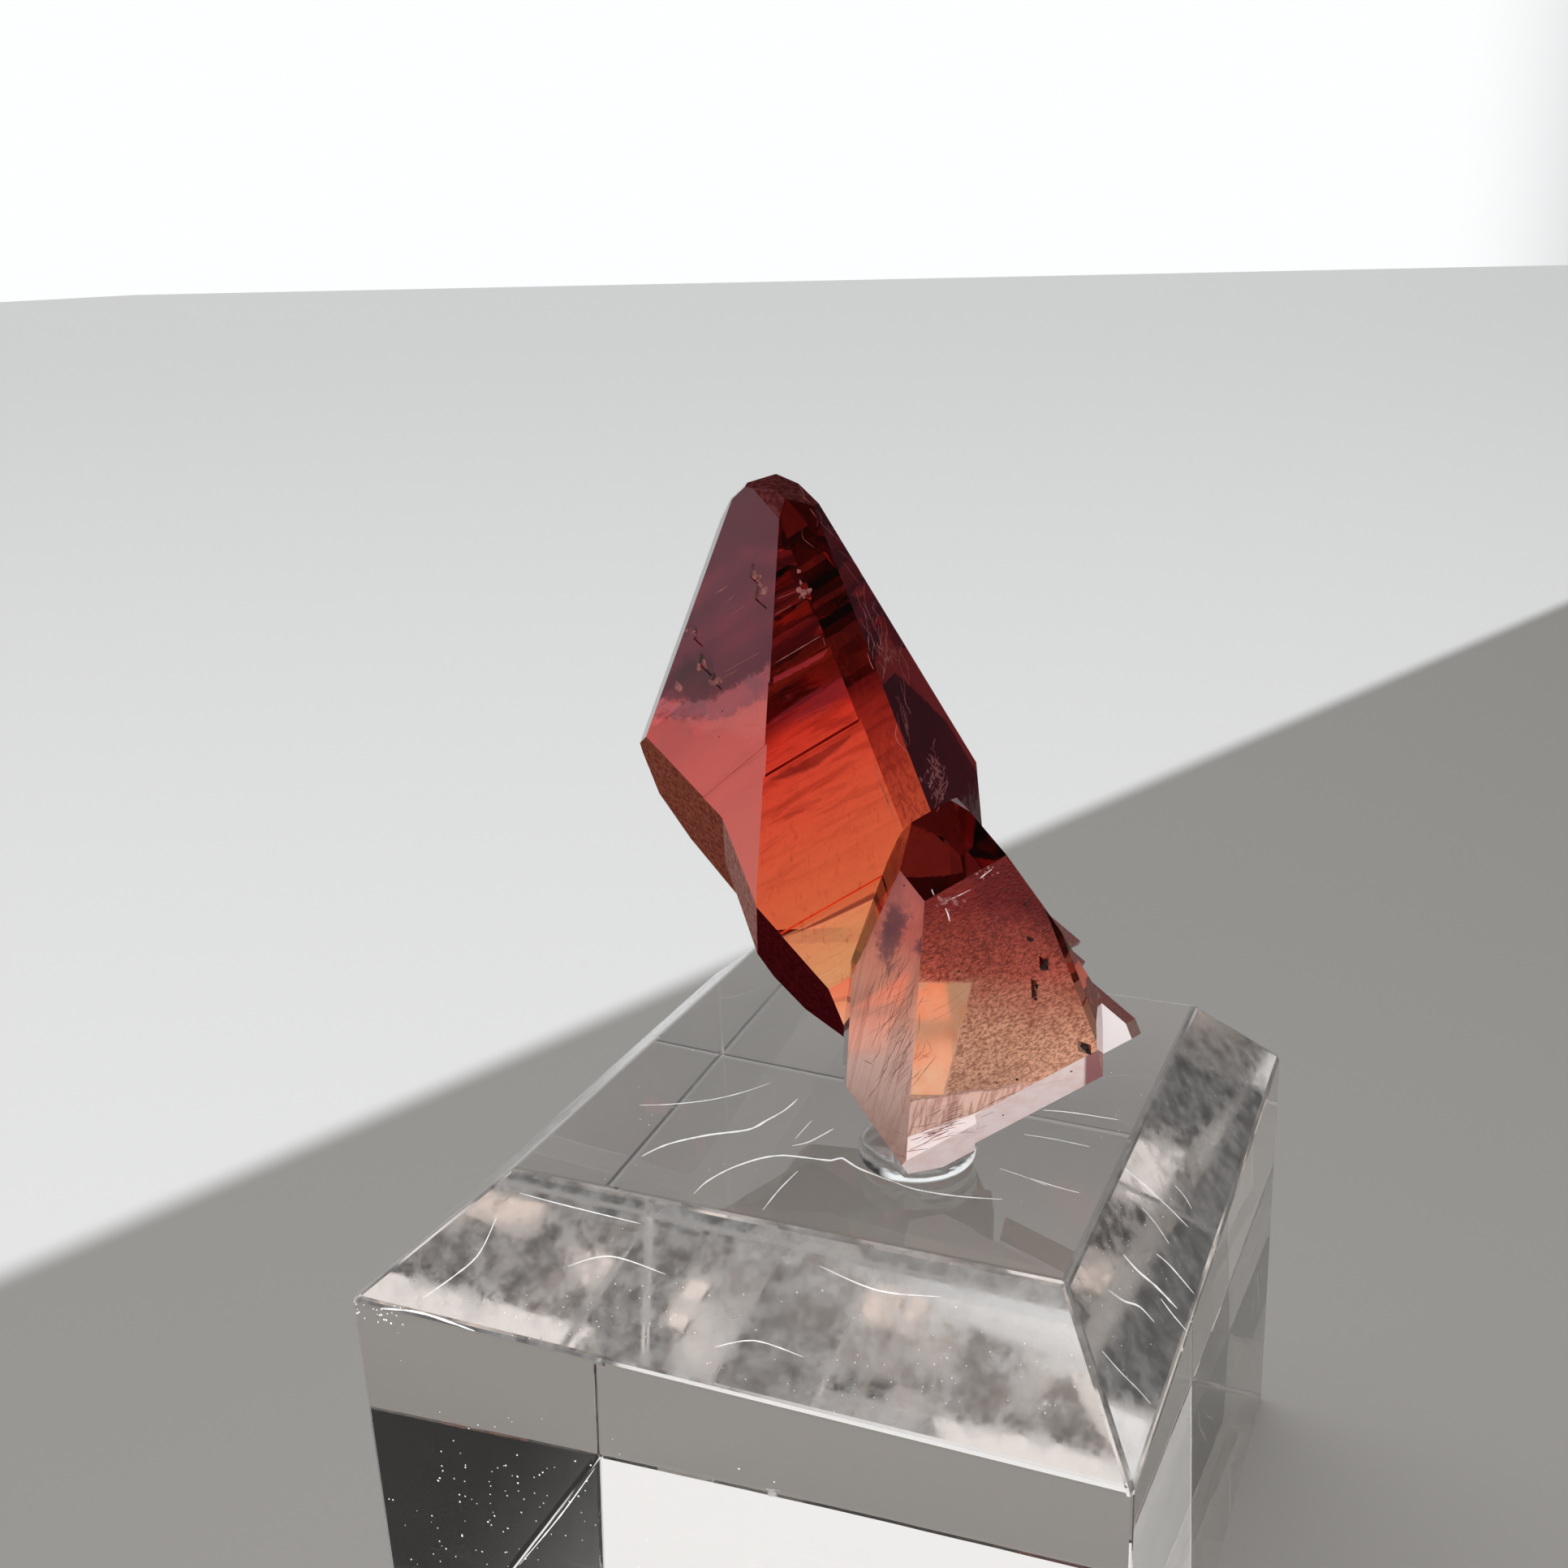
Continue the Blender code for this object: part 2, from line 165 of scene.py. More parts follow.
# Zones of a facet: routes in pixels of the photo, each with the zone on its right-hand side
ZONES = {
    "dusk": ("main_left", [(950, 817), (876, 863), (815, 863)]),
    "veil": ("main_left", [(950, 855), (889, 887), (815, 885)]),
    "stain": ("main_left", [(838, 812), (872, 806), (884, 846), (840, 862), (826, 846), (838, 812)]),
    "red_strip": ("main_front", [(953, 835), (1021, 799), (1016, 809), (953, 843), (953, 835)]),
    "mottled": ("main_front", [
        (952, 872), (1012, 838), (1036, 826), (1052, 852), (985, 892), (948, 902), (952, 872)]),
    # Painted shade: a dark band and a wedge below the front's growth ledges, standing for the shade the
    # ledges throw in the clear crystal
    "ledge_shade_band": ("main_front", [
        (938, 964), (988, 937), (1058, 897), (1040, 918), (1003, 946), (972, 958), (938, 964)]),
    "wedge": ("main_front", [(974, 1152), (1078, 1099), (1078, 1107), (1012, 1138), (974, 1152)]),
    "low_front": ("main_front", [(974, 1150), (1078, 1101)]),
    "window": ("small_front", [(1146, 1210), (1198, 1210), (1163, 1350), (1120, 1350)]),
    "above_foot": ("small_front", [(1330, 1326), (1163, 1350)]),
    "pale_foot": ("small_front", [(1197, 1373), (1330, 1326)]),
    "foot_edge": ("small_foot", [(1336, 1350), (1338, 1260)]),
    "violet": ("small_left", [(1096, 1112), (1122, 1128), (1094, 1192), (1080, 1170), (1096, 1112)]),
    "violet_edge": ("small_left", [(1140, 1140), (1152, 1140), (1150, 1188), (1128, 1172), (1140, 1140)]),
}

# Scratches on the block: route in pixels of the photo, width in millimetres
SCRATCHES = (
    ([(788, 1362), (823, 1361), (871, 1356), (912, 1347), (948, 1335)], 0.10),
    ([(790, 1425), (823, 1410), (871, 1399), (922, 1392), (944, 1381), (967, 1368), (983, 1354)], 0.21),
    ([(855, 1471), (871, 1456), (900, 1440), (935, 1428), (960, 1424), (980, 1425), (1024, 1430),
      (1037, 1427), (1059, 1440), (1100, 1456)], 0.17),
    ([(940, 1491), (960, 1466), (983, 1443)], 0.08),
    ([(976, 1412), (997, 1407), (1027, 1391)], 0.10),
    ([(980, 1403), (1000, 1381)], 0.06),
    ([(1100, 1456), (1130, 1466), (1180, 1474), (1235, 1478)], 0.11),
    ([(1285, 1368), (1320, 1371), (1378, 1380)], 0.10),
    ([(1262, 1398), (1300, 1404), (1342, 1413)], 0.06),
    ([(1270, 1452), (1300, 1462), (1330, 1470)], 0.06),
    ([(1232, 1440), (1262, 1450), (1290, 1461)], 0.04),
    ([(1386, 1440), (1412, 1462), (1440, 1488), (1464, 1512)], 0.10),
    ([(1407, 1488), (1424, 1508), (1440, 1532)], 0.06),
    ([(1384, 1546), (1402, 1566), (1424, 1585), (1450, 1612)], 0.19),
    ([(1425, 1545), (1442, 1560), (1471, 1594)], 0.11),
    ([(1366, 1590), (1385, 1603), (1404, 1610), (1422, 1629)], 0.10),
    ([(1430, 1600), (1445, 1620), (1462, 1640)], 0.10),
    ([(1448, 1461), (1460, 1475), (1468, 1489)], 0.06),
    ([(1358, 1665), (1380, 1690), (1402, 1712), (1418, 1730)], 0.06),
    ([(520, 1600), (560, 1572), (590, 1545), (612, 1500)], 0.08),
    ([(470, 1612), (520, 1618), (585, 1640)], 0.13),
    ([(640, 1470), (700, 1486), (790, 1508)], 0.06),
    ([(700, 1560), (752, 1548), (820, 1570)], 0.06),
    ([(1010, 1560), (1082, 1590), (1160, 1598)], 0.06),
    ([(880, 1660), (930, 1652), (990, 1672)], 0.06),
    ([(733, 1809), (690, 1868), (640, 1928)], 0.07),
)

# The dark tip of the large crystal ends at this line of its front, wavering by so many millimetres
TIP_EDGE = ((952, 900), (1052, 840))
TIP_EDGE_WAVER = 2.0

# Small crystal: line of the left facet's fibres, direction of the front's grain, waver of the tones' height
FIBRE_LINE = ((1090, 1380), (1132, 1220))
GRAIN_DIRECTION = Vector((0.811, 0.29, 0.507))
SMALL_LEVEL_WAVER = 2.6

# Tones of the large crystal by distance below the tip's edge, in millimetres
MAIN_TONES = (
    (-14.0, (0.040, 0.004, 0.006)),
    (-3.0, (0.05, 0.003, 0.005)),
    (-0.4, (0.26, 0.012, 0.012)),
    (0.6, (0.88, 0.075, 0.045)),
    (4.0, (1.0, 0.19, 0.10)),
    (8.0, (1.0, 0.30, 0.14)),
    (11.0, (1.0, 0.43, 0.18)),
    (15.0, (1.0, 0.47, 0.21)),
)

MAIN_LEFT_TONES = (
    (-8.0, (0.50, 0.09, 0.11)),
    (-3.0, (0.95, 0.19, 0.18)),
    (1.5, (1.0, 0.21, 0.19)),
    (8.0, (1.0, 0.27, 0.23)),
)

MAIN_BAND_TONES = (
    (-9.0, (0.05, 0.002, 0.006)),
    (0.0, (0.05, 0.003, 0.004)),
    (3.0, (0.22, 0.022, 0.016)),
    (8.0, (0.50, 0.11, 0.06)),
)

# Tones of the small crystal by height above the floor, in millimetres
SMALL_TONES = (
    (32.0, (1.0, 0.88, 0.84)),
    (36.0, (1.0, 0.76, 0.66)),
    (39.0, (0.98, 0.50, 0.34)),
    (42.0, (0.42, 0.06, 0.045)),
    (44.5, (0.17, 0.006, 0.008)),
    (49.0, (0.13, 0.005, 0.008)),
)

SMALL_LEFT_TONES = (
    (32.5, (0.36, 0.20, 0.16)),
    (35.0, (0.66, 0.44, 0.38)),
    (37.0, (0.82, 0.50, 0.41)),
    (39.5, (1.0, 0.42, 0.28)),
    (42.0, (0.85, 0.24, 0.18)),
    (45.0, (0.34, 0.10, 0.14)),
)

DARK_GRAIN_TONES = (
    (33.0, (0.27, 0.125, 0.085)),
    (38.0, (0.36, 0.13, 0.07)),
    (41.0, (0.20, 0.025, 0.017)),
    (44.0, (0.10, 0.005, 0.006)),
)

LIGHT_GRAIN_TONES = (
    (33.0, (0.66, 0.37, 0.26)),
    (38.0, (1.0, 0.52, 0.33)),
    (41.0, (0.58, 0.12, 0.075)),
    (44.0, (0.21, 0.011, 0.010)),
)

# Tones of single zones, or pairs of tones that a pattern runs between
STREAK_TONE = (0.42, 0.03, 0.02)
FRECKLE_TONE = (0.60, 0.08, 0.045)
VEIL_TONE = (0.40, 0.09, 0.13)
DUSK_TONES = ((0.19, 0.030, 0.062), (0.13, 0.026, 0.045))
STAIN_TONE = (0.05, 0.012, 0.015)
RIB_TONE = (0.12, 0.01, 0.01)
MAIN_RIGHT_TONES = ((0.16, 0.025, 0.05), (0.34, 0.08, 0.13))
RED_STRIP_TONE = (0.33, 0.025, 0.035)
MOTTLED_TONE = (0.28, 0.02, 0.03)
# Dark tone of painted shade below the growth ledges
LEDGE_SHADE_TONE = (0.16, 0.012, 0.012)
# Dark foot and tip: opaque tones without shine, a painted dark reflection on facets that are clear in the
# real crystal
DULL_TONES = {
    "shoulder_high": ((0.13, 0.025, 0.016), (0.30, 0.085, 0.055)),
    "shoulder_low": ((0.24, 0.085, 0.065), (0.44, 0.23, 0.20)),
    "dark_foot": ((0.035, 0.0015, 0.003), (0.075, 0.006, 0.008)),
}
TIP_TONES = ((0.06, 0.009, 0.010), (0.12, 0.03, 0.03))
FIBRE_TONE = (0.42, 0.15, 0.11)
VIOLET_TONE = (0.12, 0.05, 0.085)
WINDOW_TONES = ((1.0, 0.52, 0.29), (1.0, 0.42, 0.20))
FOOT_TONES = ((1.0, 0.85, 0.84), (0.95, 0.72, 0.69))
PLATE_TONE = (0.96, 0.91, 0.93)
CRUST_TONES = ((0.15, 0.028, 0.028), (0.48, 0.13, 0.115))
BELOW_WINDOW_TONES = ((0.80, 0.50, 0.40), (0.45, 0.22, 0.17))
FOOT_EDGE_TONE = (0.34, 0.13, 0.14)

# How matt zones of the crystals are, from 0 for clear to 1 for opaque, and how rough
MAIN_MATT = {
    "dusk": 0.45,
    "strip": 0.6,
    "mottle": 0.35,
    "shoulder": 1.0,
    "stain": 0.25,
    "pink": 0.44,
    "low": 0.55,
    "right": 0.16,
    "tip": 1.0,
    "dark_foot": 1.0,
}
SMALL_MATT = {
    "foot": 0.85,
    "plate": 0.72,
    "crust": 0.8,
    "below": 0.5,
    "window": 0.40,
}
DUSK_ROUGH = 0.30
SHOULDER_ROUGH = 0.35
FOOT_ROUGH = 0.4
SMALL_LEFT_ROUGH = 0.20
WINDOW_ROUGH = 0.16

# Relief of growth streaks and of the etched grain, in millimetres
STREAK_DEPTH = 0.02
GRAIN_DEPTH = 0.09

# Opaque looks: light and dark tone, roughness, and cells per millimetre
HEALED_CRACK_LOOK = ((0.34, 0.13, 0.12), (0.16, 0.05, 0.05), 0.45, 3.0)
GROWTH_LINE_LOOK = ((0.10, 0.01, 0.012), (0.03, 0.002, 0.004), 0.4, 2.0)
INCLUSION_LOOK = ((0.05, 0.03, 0.03), (0.008, 0.006, 0.006), 0.5, 4.0)
FILM_LOOK = ((0.26, 0.12, 0.10), (0.12, 0.04, 0.04), 0.5, 3.0)
VEIL_LOOK = ((0.52, 0.17, 0.16), (0.20, 0.05, 0.06), 0.45, 5.0)
GLINT_LOOK = ((0.92, 0.84, 0.83), (0.6, 0.45, 0.45), 0.3, 4.0)
SCRATCH_LOOK = ((0.96, 0.96, 0.95), (0.72, 0.72, 0.71), 0.4, 6.0, 0.5)

# Lines on the crystals: route in pixels of the photo, width in millimetres
PALE_STREAKS = (
    ([(882, 731), (896, 723)], 0.10),
    ([(895, 742), (910, 731)], 0.06),
    ([(902, 757), (921, 745)], 0.06),
    ([(893, 828), (938, 803)], 0.04),
    ([(884, 840), (912, 824)], 0.05),
    ([(955, 817), (1012, 783)], 0.05),
    ([(955, 757), (975, 746)], 0.03),
    ([(958, 738), (980, 729)], 0.03),
    ([(1014, 786), (1018, 800)], 0.03),
    ([(826, 812), (900, 776)], 0.02),
    ([(838, 778), (884, 752)], 0.02),
)

DARK_LINES = (
    ([(926, 832), (931, 845), (932, 872), (934, 884)], 0.06),
    ([(889, 958), (916, 944), (942, 926)], 0.03),
    ([(820, 937), (838, 962), (862, 986), (884, 1008)], 0.16),
    ([(1054, 1264), (1076, 1247), (1100, 1236), (1143, 1218)], 0.035),
    ([(1066, 1276), (1090, 1262), (1112, 1242), (1145, 1232)], 0.03),
    ([(1147, 1247), (1172, 1234), (1196, 1214)], 0.045),
    ([(1147, 1258), (1172, 1245), (1196, 1223)], 0.04),
    ([(1197, 1373), (1232, 1354), (1276, 1338), (1330, 1327)], 0.07),
    ([(1197, 1374), (1206, 1388), (1182, 1402)], 0.06),
    ([(1130, 1402), (1160, 1390), (1195, 1376)], 0.04),
    ([(1112, 1412), (1145, 1398), (1200, 1390)], 0.035),
    ([(1118, 1420), (1145, 1408), (1172, 1398)], 0.03),
    ([(1100, 1392), (1124, 1404), (1138, 1418)], 0.03),
)

# Glints: painted highlights, short white strokes standing for light glinting off the crystals
GLINTS = (
    ([(1148, 1096), (1151, 1103), (1156, 1110)], 0.07),
    ([(1165, 1119), (1168, 1126), (1170, 1135)], 0.09),
    ([(1208, 1082), (1214, 1077), (1222, 1071)], 0.07),
    ([(1196, 1096), (1180, 1104), (1162, 1112)], 0.05),
)

FIBRE_LINES = (
    ([(1083, 962), (1090, 978), (1101, 1007)], 0.06),
    ([(1078, 940), (1083, 962)], 0.04),
    ([(1136, 1300), (1144, 1303)], 0.05),
    ([(1064, 1306), (1076, 1312)], 0.04),
)

# Groups of strokes: middle pixel, spread across, down and down per pixel across, count, slant in degrees,
# length in pixels, width in millimetres, and seed
FIBRE_STROKES = (
    ((1100, 1300), (16, 45, 0), 60, 62, 46, 0.030, 3),
    ((1092, 1215), (10, 16, 0), 22, 70, 40, 0.030, 4),
    ((1150, 1398), (22, 7, -0.25), 26, 20, 34, 0.035, 6),
    ((1160, 1368), (8, 6, 0), 8, 25, 24, 0.030, 8),
)
VEIL_STROKES = (
    ((1080, 785), (7, 22, 1.0), 26, 100, 34, 0.055, 12),
    ((1118, 880), (3, 26, 2.6), 12, 104, 44, 0.040, 13),
    ((1154, 965), (5, 15, 1.4), 34, 75, 15, 0.055, 14),
    ((1158, 955), (5, 14, 1.4), 22, 125, 14, 0.050, 15),
    ((1100, 812), (4, 5, 0), 9, 110, 11, 0.050, 16),
    ((1010, 640), (14, 18, 1.1), 9, -58, 40, 0.022, 17),
)

# Groups of flakes: middle pixel, spread in pixels, count, and radius in millimetres
HEALED_SPOTS = (
    ((933, 711), (2.5, 2.5), 5, 0.20),
    ((939, 727), (2.5, 2.5), 5, 0.22),
    ((988, 715), (3, 9), 8, 0.13),
    ((990, 730), (3, 3), 5, 0.16),
    ((853, 781), (7, 5), 14, 0.07),
    ((870, 820), (4, 2.5), 5, 0.20),
    ((882, 839), (5, 2.5), 6, 0.22),
    ((835, 846), (4, 3), 4, 0.20),
    ((1096, 812), (3, 3), 5, 0.14),
    ((1150, 960), (6, 12), 16, 0.13),
    ((1158, 978), (4, 5), 9, 0.12),
    ((1172, 1112), (16, 4), 18, 0.10),
    ((1215, 1074), (7, 5), 10, 0.07),
)

DUST_SPOTS = (
    ((700, 1620), (130, 25), 60, 0.025),
    ((1150, 1700), (150, 30), 60, 0.025),
    ((620, 1850), (80, 50), 110, 0.045),
    ((900, 1420), (160, 60), 50, 0.02),
    ((1400, 1500), (30, 90), 50, 0.02),
    ((470, 1620), (20, 8), 30, 0.05),
)

# Inclusions: pixel and radius in millimetres
INCLUSIONS = (
    ((1288, 1186), 0.24),
    ((1286, 1192), 0.18),
    ((1277, 1215), 0.13),
    ((1275, 1224), 0.15),
    ((1276, 1231), 0.09),
    ((1267, 1156), 0.12),
    ((1271, 1158), 0.09),
    ((1338, 1290), 0.22),
    ((1342, 1296), 0.16),
    ((1333, 1287), 0.12),
    ((1263, 1114), 0.07),
    ((1181, 1197), 0.06),
    ((1114, 1091), 0.05),
    ((890, 876), 0.05),
    ((886, 908), 0.04),
    ((1236, 1374), 0.05),
    ((1253, 1330), 0.06),
    ((1228, 1334), 0.05),
    ((1320, 1320), 0.06),
)


def place_camera():
    """The camera at the photo's place, looking as it did."""
    data = bpy.data.cameras.new("camera")
    data.lens = CAMERA_LENS
    data.sensor_width = SENSOR_WIDTH
    data.shift_x = CAMERA_SHIFT_X
    data.clip_start = 0.001
    data.clip_end = 50.0
    camera = bpy.data.objects.new("camera", data)
    bpy.context.scene.collection.objects.link(camera)
    turn = Matrix.Rotation(math.radians(CAMERA_AZIMUTH), 4, "Z")
    tilt = Matrix.Rotation(math.radians(90.0 - CAMERA_ELEVATION), 4, "X")
    roll = Matrix.Rotation(math.radians(CAMERA_ROLL), 4, "Z")
    camera.matrix_world = Matrix.Translation(CAMERA_PLACE) @ turn @ tilt @ roll
    bpy.context.scene.camera = camera
    return camera.matrix_world.to_3x3()


CAMERA_TURN = place_camera()


def line_of_sight(pixel):
    """Direction in which a pixel of the photo looks."""
    across = (pixel[0] / PHOTO_SIZE - 0.5 + CAMERA_SHIFT_X) * SENSOR_WIDTH
    up = (0.5 - pixel[1] / PHOTO_SIZE) * SENSOR_WIDTH
    return (CAMERA_TURN @ Vector((across, up, -CAMERA_LENS))).normalized()


def surface_under(tree, pixel):
    """Place, normal and face number of a surface that a pixel of the photo shows, or None."""
    place, normal, face, _ = tree.ray_cast(CAMERA_PLACE, line_of_sight(pixel))
    if place is None:
        return None
    return place, normal, face


def link_mesh(name, mesh):
    """A new object in the scene for a mesh."""
    made = bpy.data.objects.new(name, mesh)
    bpy.context.scene.collection.objects.link(made)
    return made


def copy_node(node, name):
    """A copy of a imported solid, its flat facets whole again."""
    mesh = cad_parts[node].data.copy()
    mesh.name = name
    mesh.materials.clear()
    made = link_mesh(name, mesh)
    shape = bmesh.new()
    shape.from_mesh(mesh)
    bmesh.ops.remove_doubles(shape, verts=shape.verts, dist=WELD_DISTANCE)
    angle = math.radians(FLAT_ANGLE)
    bmesh.ops.dissolve_limit(shape, angle_limit=angle, verts=shape.verts, edges=shape.edges)
    shape.to_mesh(mesh)
    shape.free()
    for face in mesh.polygons:
        face.use_smooth = False
    return made


def surface_tree(piece):
    """Search tree over a piece's faces."""
    shape = bmesh.new()
    shape.from_mesh(piece.data)
    tree = BVHTree.FromBMesh(shape)
    shape.free()
    return tree


def finish_piece(piece, material, replaced=None):
    """Gives a piece its material and slot, and lets it ride on the body."""
    piece.data.materials.append(material)
    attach(piece, "root")
    if replaced:
        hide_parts(replaced)


class Look:
    """A material under construction, with short names for the nodes it uses."""

    def __init__(self, name):
        self.material = bpy.data.materials.new(name)
        self.material.use_nodes = True
        self.tree = self.material.node_tree
        self.tree.nodes.clear()
        self.out = self.tree.nodes.new("ShaderNodeOutputMaterial")
        self.shader = self.tree.nodes.new("ShaderNodeBsdfPrincipled")
        self.tree.links.new(self.shader.outputs["BSDF"], self.out.inputs["Surface"])
        coords = self.tree.nodes.new("ShaderNodeTexCoord")
        scale = self.tree.nodes.new("ShaderNodeVectorMath")
        scale.operation = "SCALE"
        scale.inputs["Scale"].default_value = 1.0 / MM
        self.tree.links.new(coords.outputs["Object"], scale.inputs[0])
        self.place = scale.outputs["Vector"]

    def set(self, name, value):
        """Sets a number or colour of the shader, or links a node's result to it."""
        self.feed(value, self.shader.inputs[name])

    def feed(self, value, socket):
        """Gives a socket a number, a colour or another node's result."""
        if isinstance(value, bpy.types.NodeSocket):
            self.tree.links.new(value, socket)
        elif isinstance(value, tuple) and len(socket.default_value) == 4:
            socket.default_value = (*value, 1.0)
        else:
            socket.default_value = value

    def math(self, operation, first, second=0.0, clamp=False):
        """Result of a sum on one or two values."""
        node = self.tree.nodes.new("ShaderNodeMath")
        node.operation = operation
        node.use_clamp = clamp
        self.feed(first, node.inputs[0])
        self.feed(second, node.inputs[1])
        return node.outputs[0]

    def all_of(self, *masks):
        """Product of masks."""
        result = masks[0]
        for mask in masks[1:]:
            result = self.math("MULTIPLY", result, mask)
        return result

    def either(self, *masks):
        """Largest of masks."""
        result = masks[0]
        for mask in masks[1:]:
            result = self.math("MAXIMUM", result, mask)
        return result

    def part(self, mask, share):
        """A share of a mask."""
        return self.math("MULTIPLY", mask, share)

    def invert(self, mask):
        """1 where a mask is 0, and 0 where it is 1."""
        return self.math("SUBTRACT", 1.0, mask)

    def step(self, value, low, high, to_low=0.0, to_high=1.0, smooth=True):
        """Soft step of a value from one level to another."""
        node = self.tree.nodes.new("ShaderNodeMapRange")
        node.interpolation_type = "SMOOTHSTEP" if smooth else "LINEAR"
        for socket, number in zip(("From Min", "From Max", "To Min", "To Max"), (low, high, to_low, to_high)):
            node.inputs[socket].default_value = number
        self.feed(value, node.inputs["Value"])
        return node.outputs["Result"]

    def mix(self, mask, first, second):
        """Colour mixed from two colours by a mask."""
        node = self.tree.nodes.new("ShaderNodeMix")
        node.data_type = "RGBA"
        self.feed(mask, node.inputs["Factor"])
        self.feed(first, node.inputs[6])
        self.feed(second, node.inputs[7])
        return node.outputs[2]

    def facet(self, name):
        """Mask of a group of facets."""
        node = self.tree.nodes.new("ShaderNodeAttribute")
        node.attribute_name = name
        return node.outputs["Fac"]

    def along(self, direction, origin=Vector((0, 0, 0))):
        """Distance in millimetres of a point along a direction."""
        node = self.tree.nodes.new("ShaderNodeVectorMath")
        node.operation = "DOT_PRODUCT"
        node.inputs[1].default_value = direction
        self.tree.links.new(self.place, node.inputs[0])
        return self.math("SUBTRACT", node.outputs["Value"], direction.dot(origin))

    def noise(self, scale, detail=3.0, rough=0.5, stretch=None, along=None, warp=0.0):
        """Noise in cells per millimetre, stretched along a direction where one is given."""
        node = self.tree.nodes.new("ShaderNodeTexNoise")
        node.inputs["Scale"].default_value = scale
        node.inputs["Detail"].default_value = detail
        node.inputs["Roughness"].default_value = rough
        node.inputs["Distortion"].default_value = warp
        source = self.place
        if along is not None:
            turn = self.tree.nodes.new("ShaderNodeMapping")
            turn.vector_type = "TEXTURE"
            turn.inputs["Rotation"].default_value = along.to_track_quat("X", "Z").to_euler()
            turn.inputs["Scale"].default_value = (stretch, 1.0, 1.0)
            self.tree.links.new(source, turn.inputs["Vector"])
            source = turn.outputs["Vector"]
        self.tree.links.new(source, node.inputs["Vector"])
        return node.outputs["Fac"]

    def blend(self, mask, first, second):
        """Number mixed from two numbers by a mask."""
        gap = self.math("SUBTRACT", second, first)
        return self.math("ADD", first, self.part(gap, mask))

    def ramp(self, value, stops):
        """Colour ramp through the given stops."""
        node = self.tree.nodes.new("ShaderNodeValToRGB")
        low, high = stops[0][0], stops[-1][0]
        ramp = node.color_ramp
        while len(ramp.elements) < len(stops):
            ramp.elements.new(0.5)
        for element, (level, colour) in zip(ramp.elements, stops):
            element.position = (level - low) / (high - low)
            element.color = (*colour, 1.0)
        self.feed(self.step(value, low, high, smooth=False), node.inputs["Fac"])
        return node.outputs["Color"]

    def bump(self, height, depth, strength=1.0, before=None):
        """Relief of the given depth in millimetres."""
        node = self.tree.nodes.new("ShaderNodeBump")
        node.inputs["Distance"].default_value = depth * MM
        node.inputs["Strength"].default_value = strength
        self.feed(height, node.inputs["Height"])
        if before is not None:
            self.tree.links.new(before, node.inputs["Normal"])
        return node.outputs["Normal"]

    def absorb(self, loss):
        """Clear body colour: light lost per metre in red, green and blue."""
        density = max(loss)
        node = self.tree.nodes.new("ShaderNodeVolumeAbsorption")
        node.inputs["Color"].default_value = (*(1.0 - part / density for part in loss), 1.0)
        node.inputs["Density"].default_value = density
        self.tree.links.new(node.outputs["Volume"], self.out.inputs["Volume"])


def plane_point(plane, pixel):
    """The point of a facet's plane that a pixel of the photo shows."""
    place, normal = plane
    sight = line_of_sight(pixel)
    return CAMERA_PLACE + sight * ((place - CAMERA_PLACE).dot(normal) / sight.dot(normal))


def zone(look, planes, name, soft=0.12, ragged=0.0):
    """Mask of a zone of a facet, its edges soft and, where asked, ragged."""
    facet, route = ZONES[name]
    mask = look.facet(facet)
    for first, second in zip(route, route[1:]):
        start = plane_point(planes[facet], first)
        side = (plane_point(planes[facet], second) - start).cross(planes[facet][1]).normalized()
        distance = look.along(side, start / MM)
        if ragged:
            distance = look.math("ADD", distance, look.part(look.rough_edge, ragged))
        mask = look.all_of(mask, look.step(distance, -soft, soft))
    return mask


def mark_facets(piece, tree):
    """Stores on the faces which group of facets each belongs to, and returns each group's plane."""
    mesh = piece.data
    planes = {}
    for name, pixel in FACETS.items():
        place, normal, _ = surface_under(tree, pixel)
        planes[name] = (place, normal)
        values = [0.0] * len(mesh.polygons)
        for face in mesh.polygons:
            near = abs((face.center - place).dot(normal)) < FACET_DEPTH * MM
            if near and face.normal.dot(normal) > FACET_ALIGNMENT:
                values[face.index] = 1.0
        stored = mesh.attributes.new(name, "FLOAT", "FACE")
        stored.data.foreach_set("value", values)
    return planes


def below_tip(look, planes, cloud):
    """Distance below the edge of the dark tip, and the direction of that edge."""
    front = planes["main_front"]
    start, end = (plane_point(front, pixel) for pixel in TIP_EDGE)
    trace = (end - start).normalized()
    down = trace.cross(front[1]).normalized()
    waver = look.part(look.math("SUBTRACT", cloud, 0.5), TIP_EDGE_WAVER)
    return look.math("ADD", look.along(down, start / MM), waver), trace


def main_front_tone(look, level, streaks):
    """Front of the large crystal: near black, then red to orange, with dark streaks and freckles."""
    tone = look.ramp(level, MAIN_TONES)
    marks = look.all_of(look.step(streaks, 0.48, 0.62), look.step(level, 1.0, 8.0, 1.0, 0.12))
    tone = look.mix(look.part(marks, 0.85), tone, STREAK_TONE)
    specks = look.noise(2.6, detail=4.0, rough=0.7, stretch=3.0, along=CRYSTAL_AXIS, warp=0.8)
    freckles = look.all_of(look.step(specks, 0.56, 0.68), look.step(level, -1.0, 1.0))
    return look.mix(look.part(freckles, 0.5), tone, FRECKLE_TONE)


def main_left_tone(look, planes, tone, level, cloud):
    """Left facet of the large crystal, dusky purple over pinkish red, and the masks of dusk and stain."""
    tone = look.mix(look.facet("main_left"), tone, look.ramp(level, MAIN_LEFT_TONES))
    veil = zone(look, planes, "veil", soft=0.2, ragged=1.2)
    tone = look.mix(look.part(veil, 0.8), tone, VEIL_TONE)
    dusk = zone(look, planes, "dusk", soft=0.15, ragged=1.0)
    tone = look.mix(dusk, tone, look.mix(cloud, *DUSK_TONES))
    stain = zone(look, planes, "stain", soft=0.4, ragged=1.6)
    tone = look.mix(look.part(stain, 0.7), tone, STAIN_TONE)
    return tone, dusk, stain


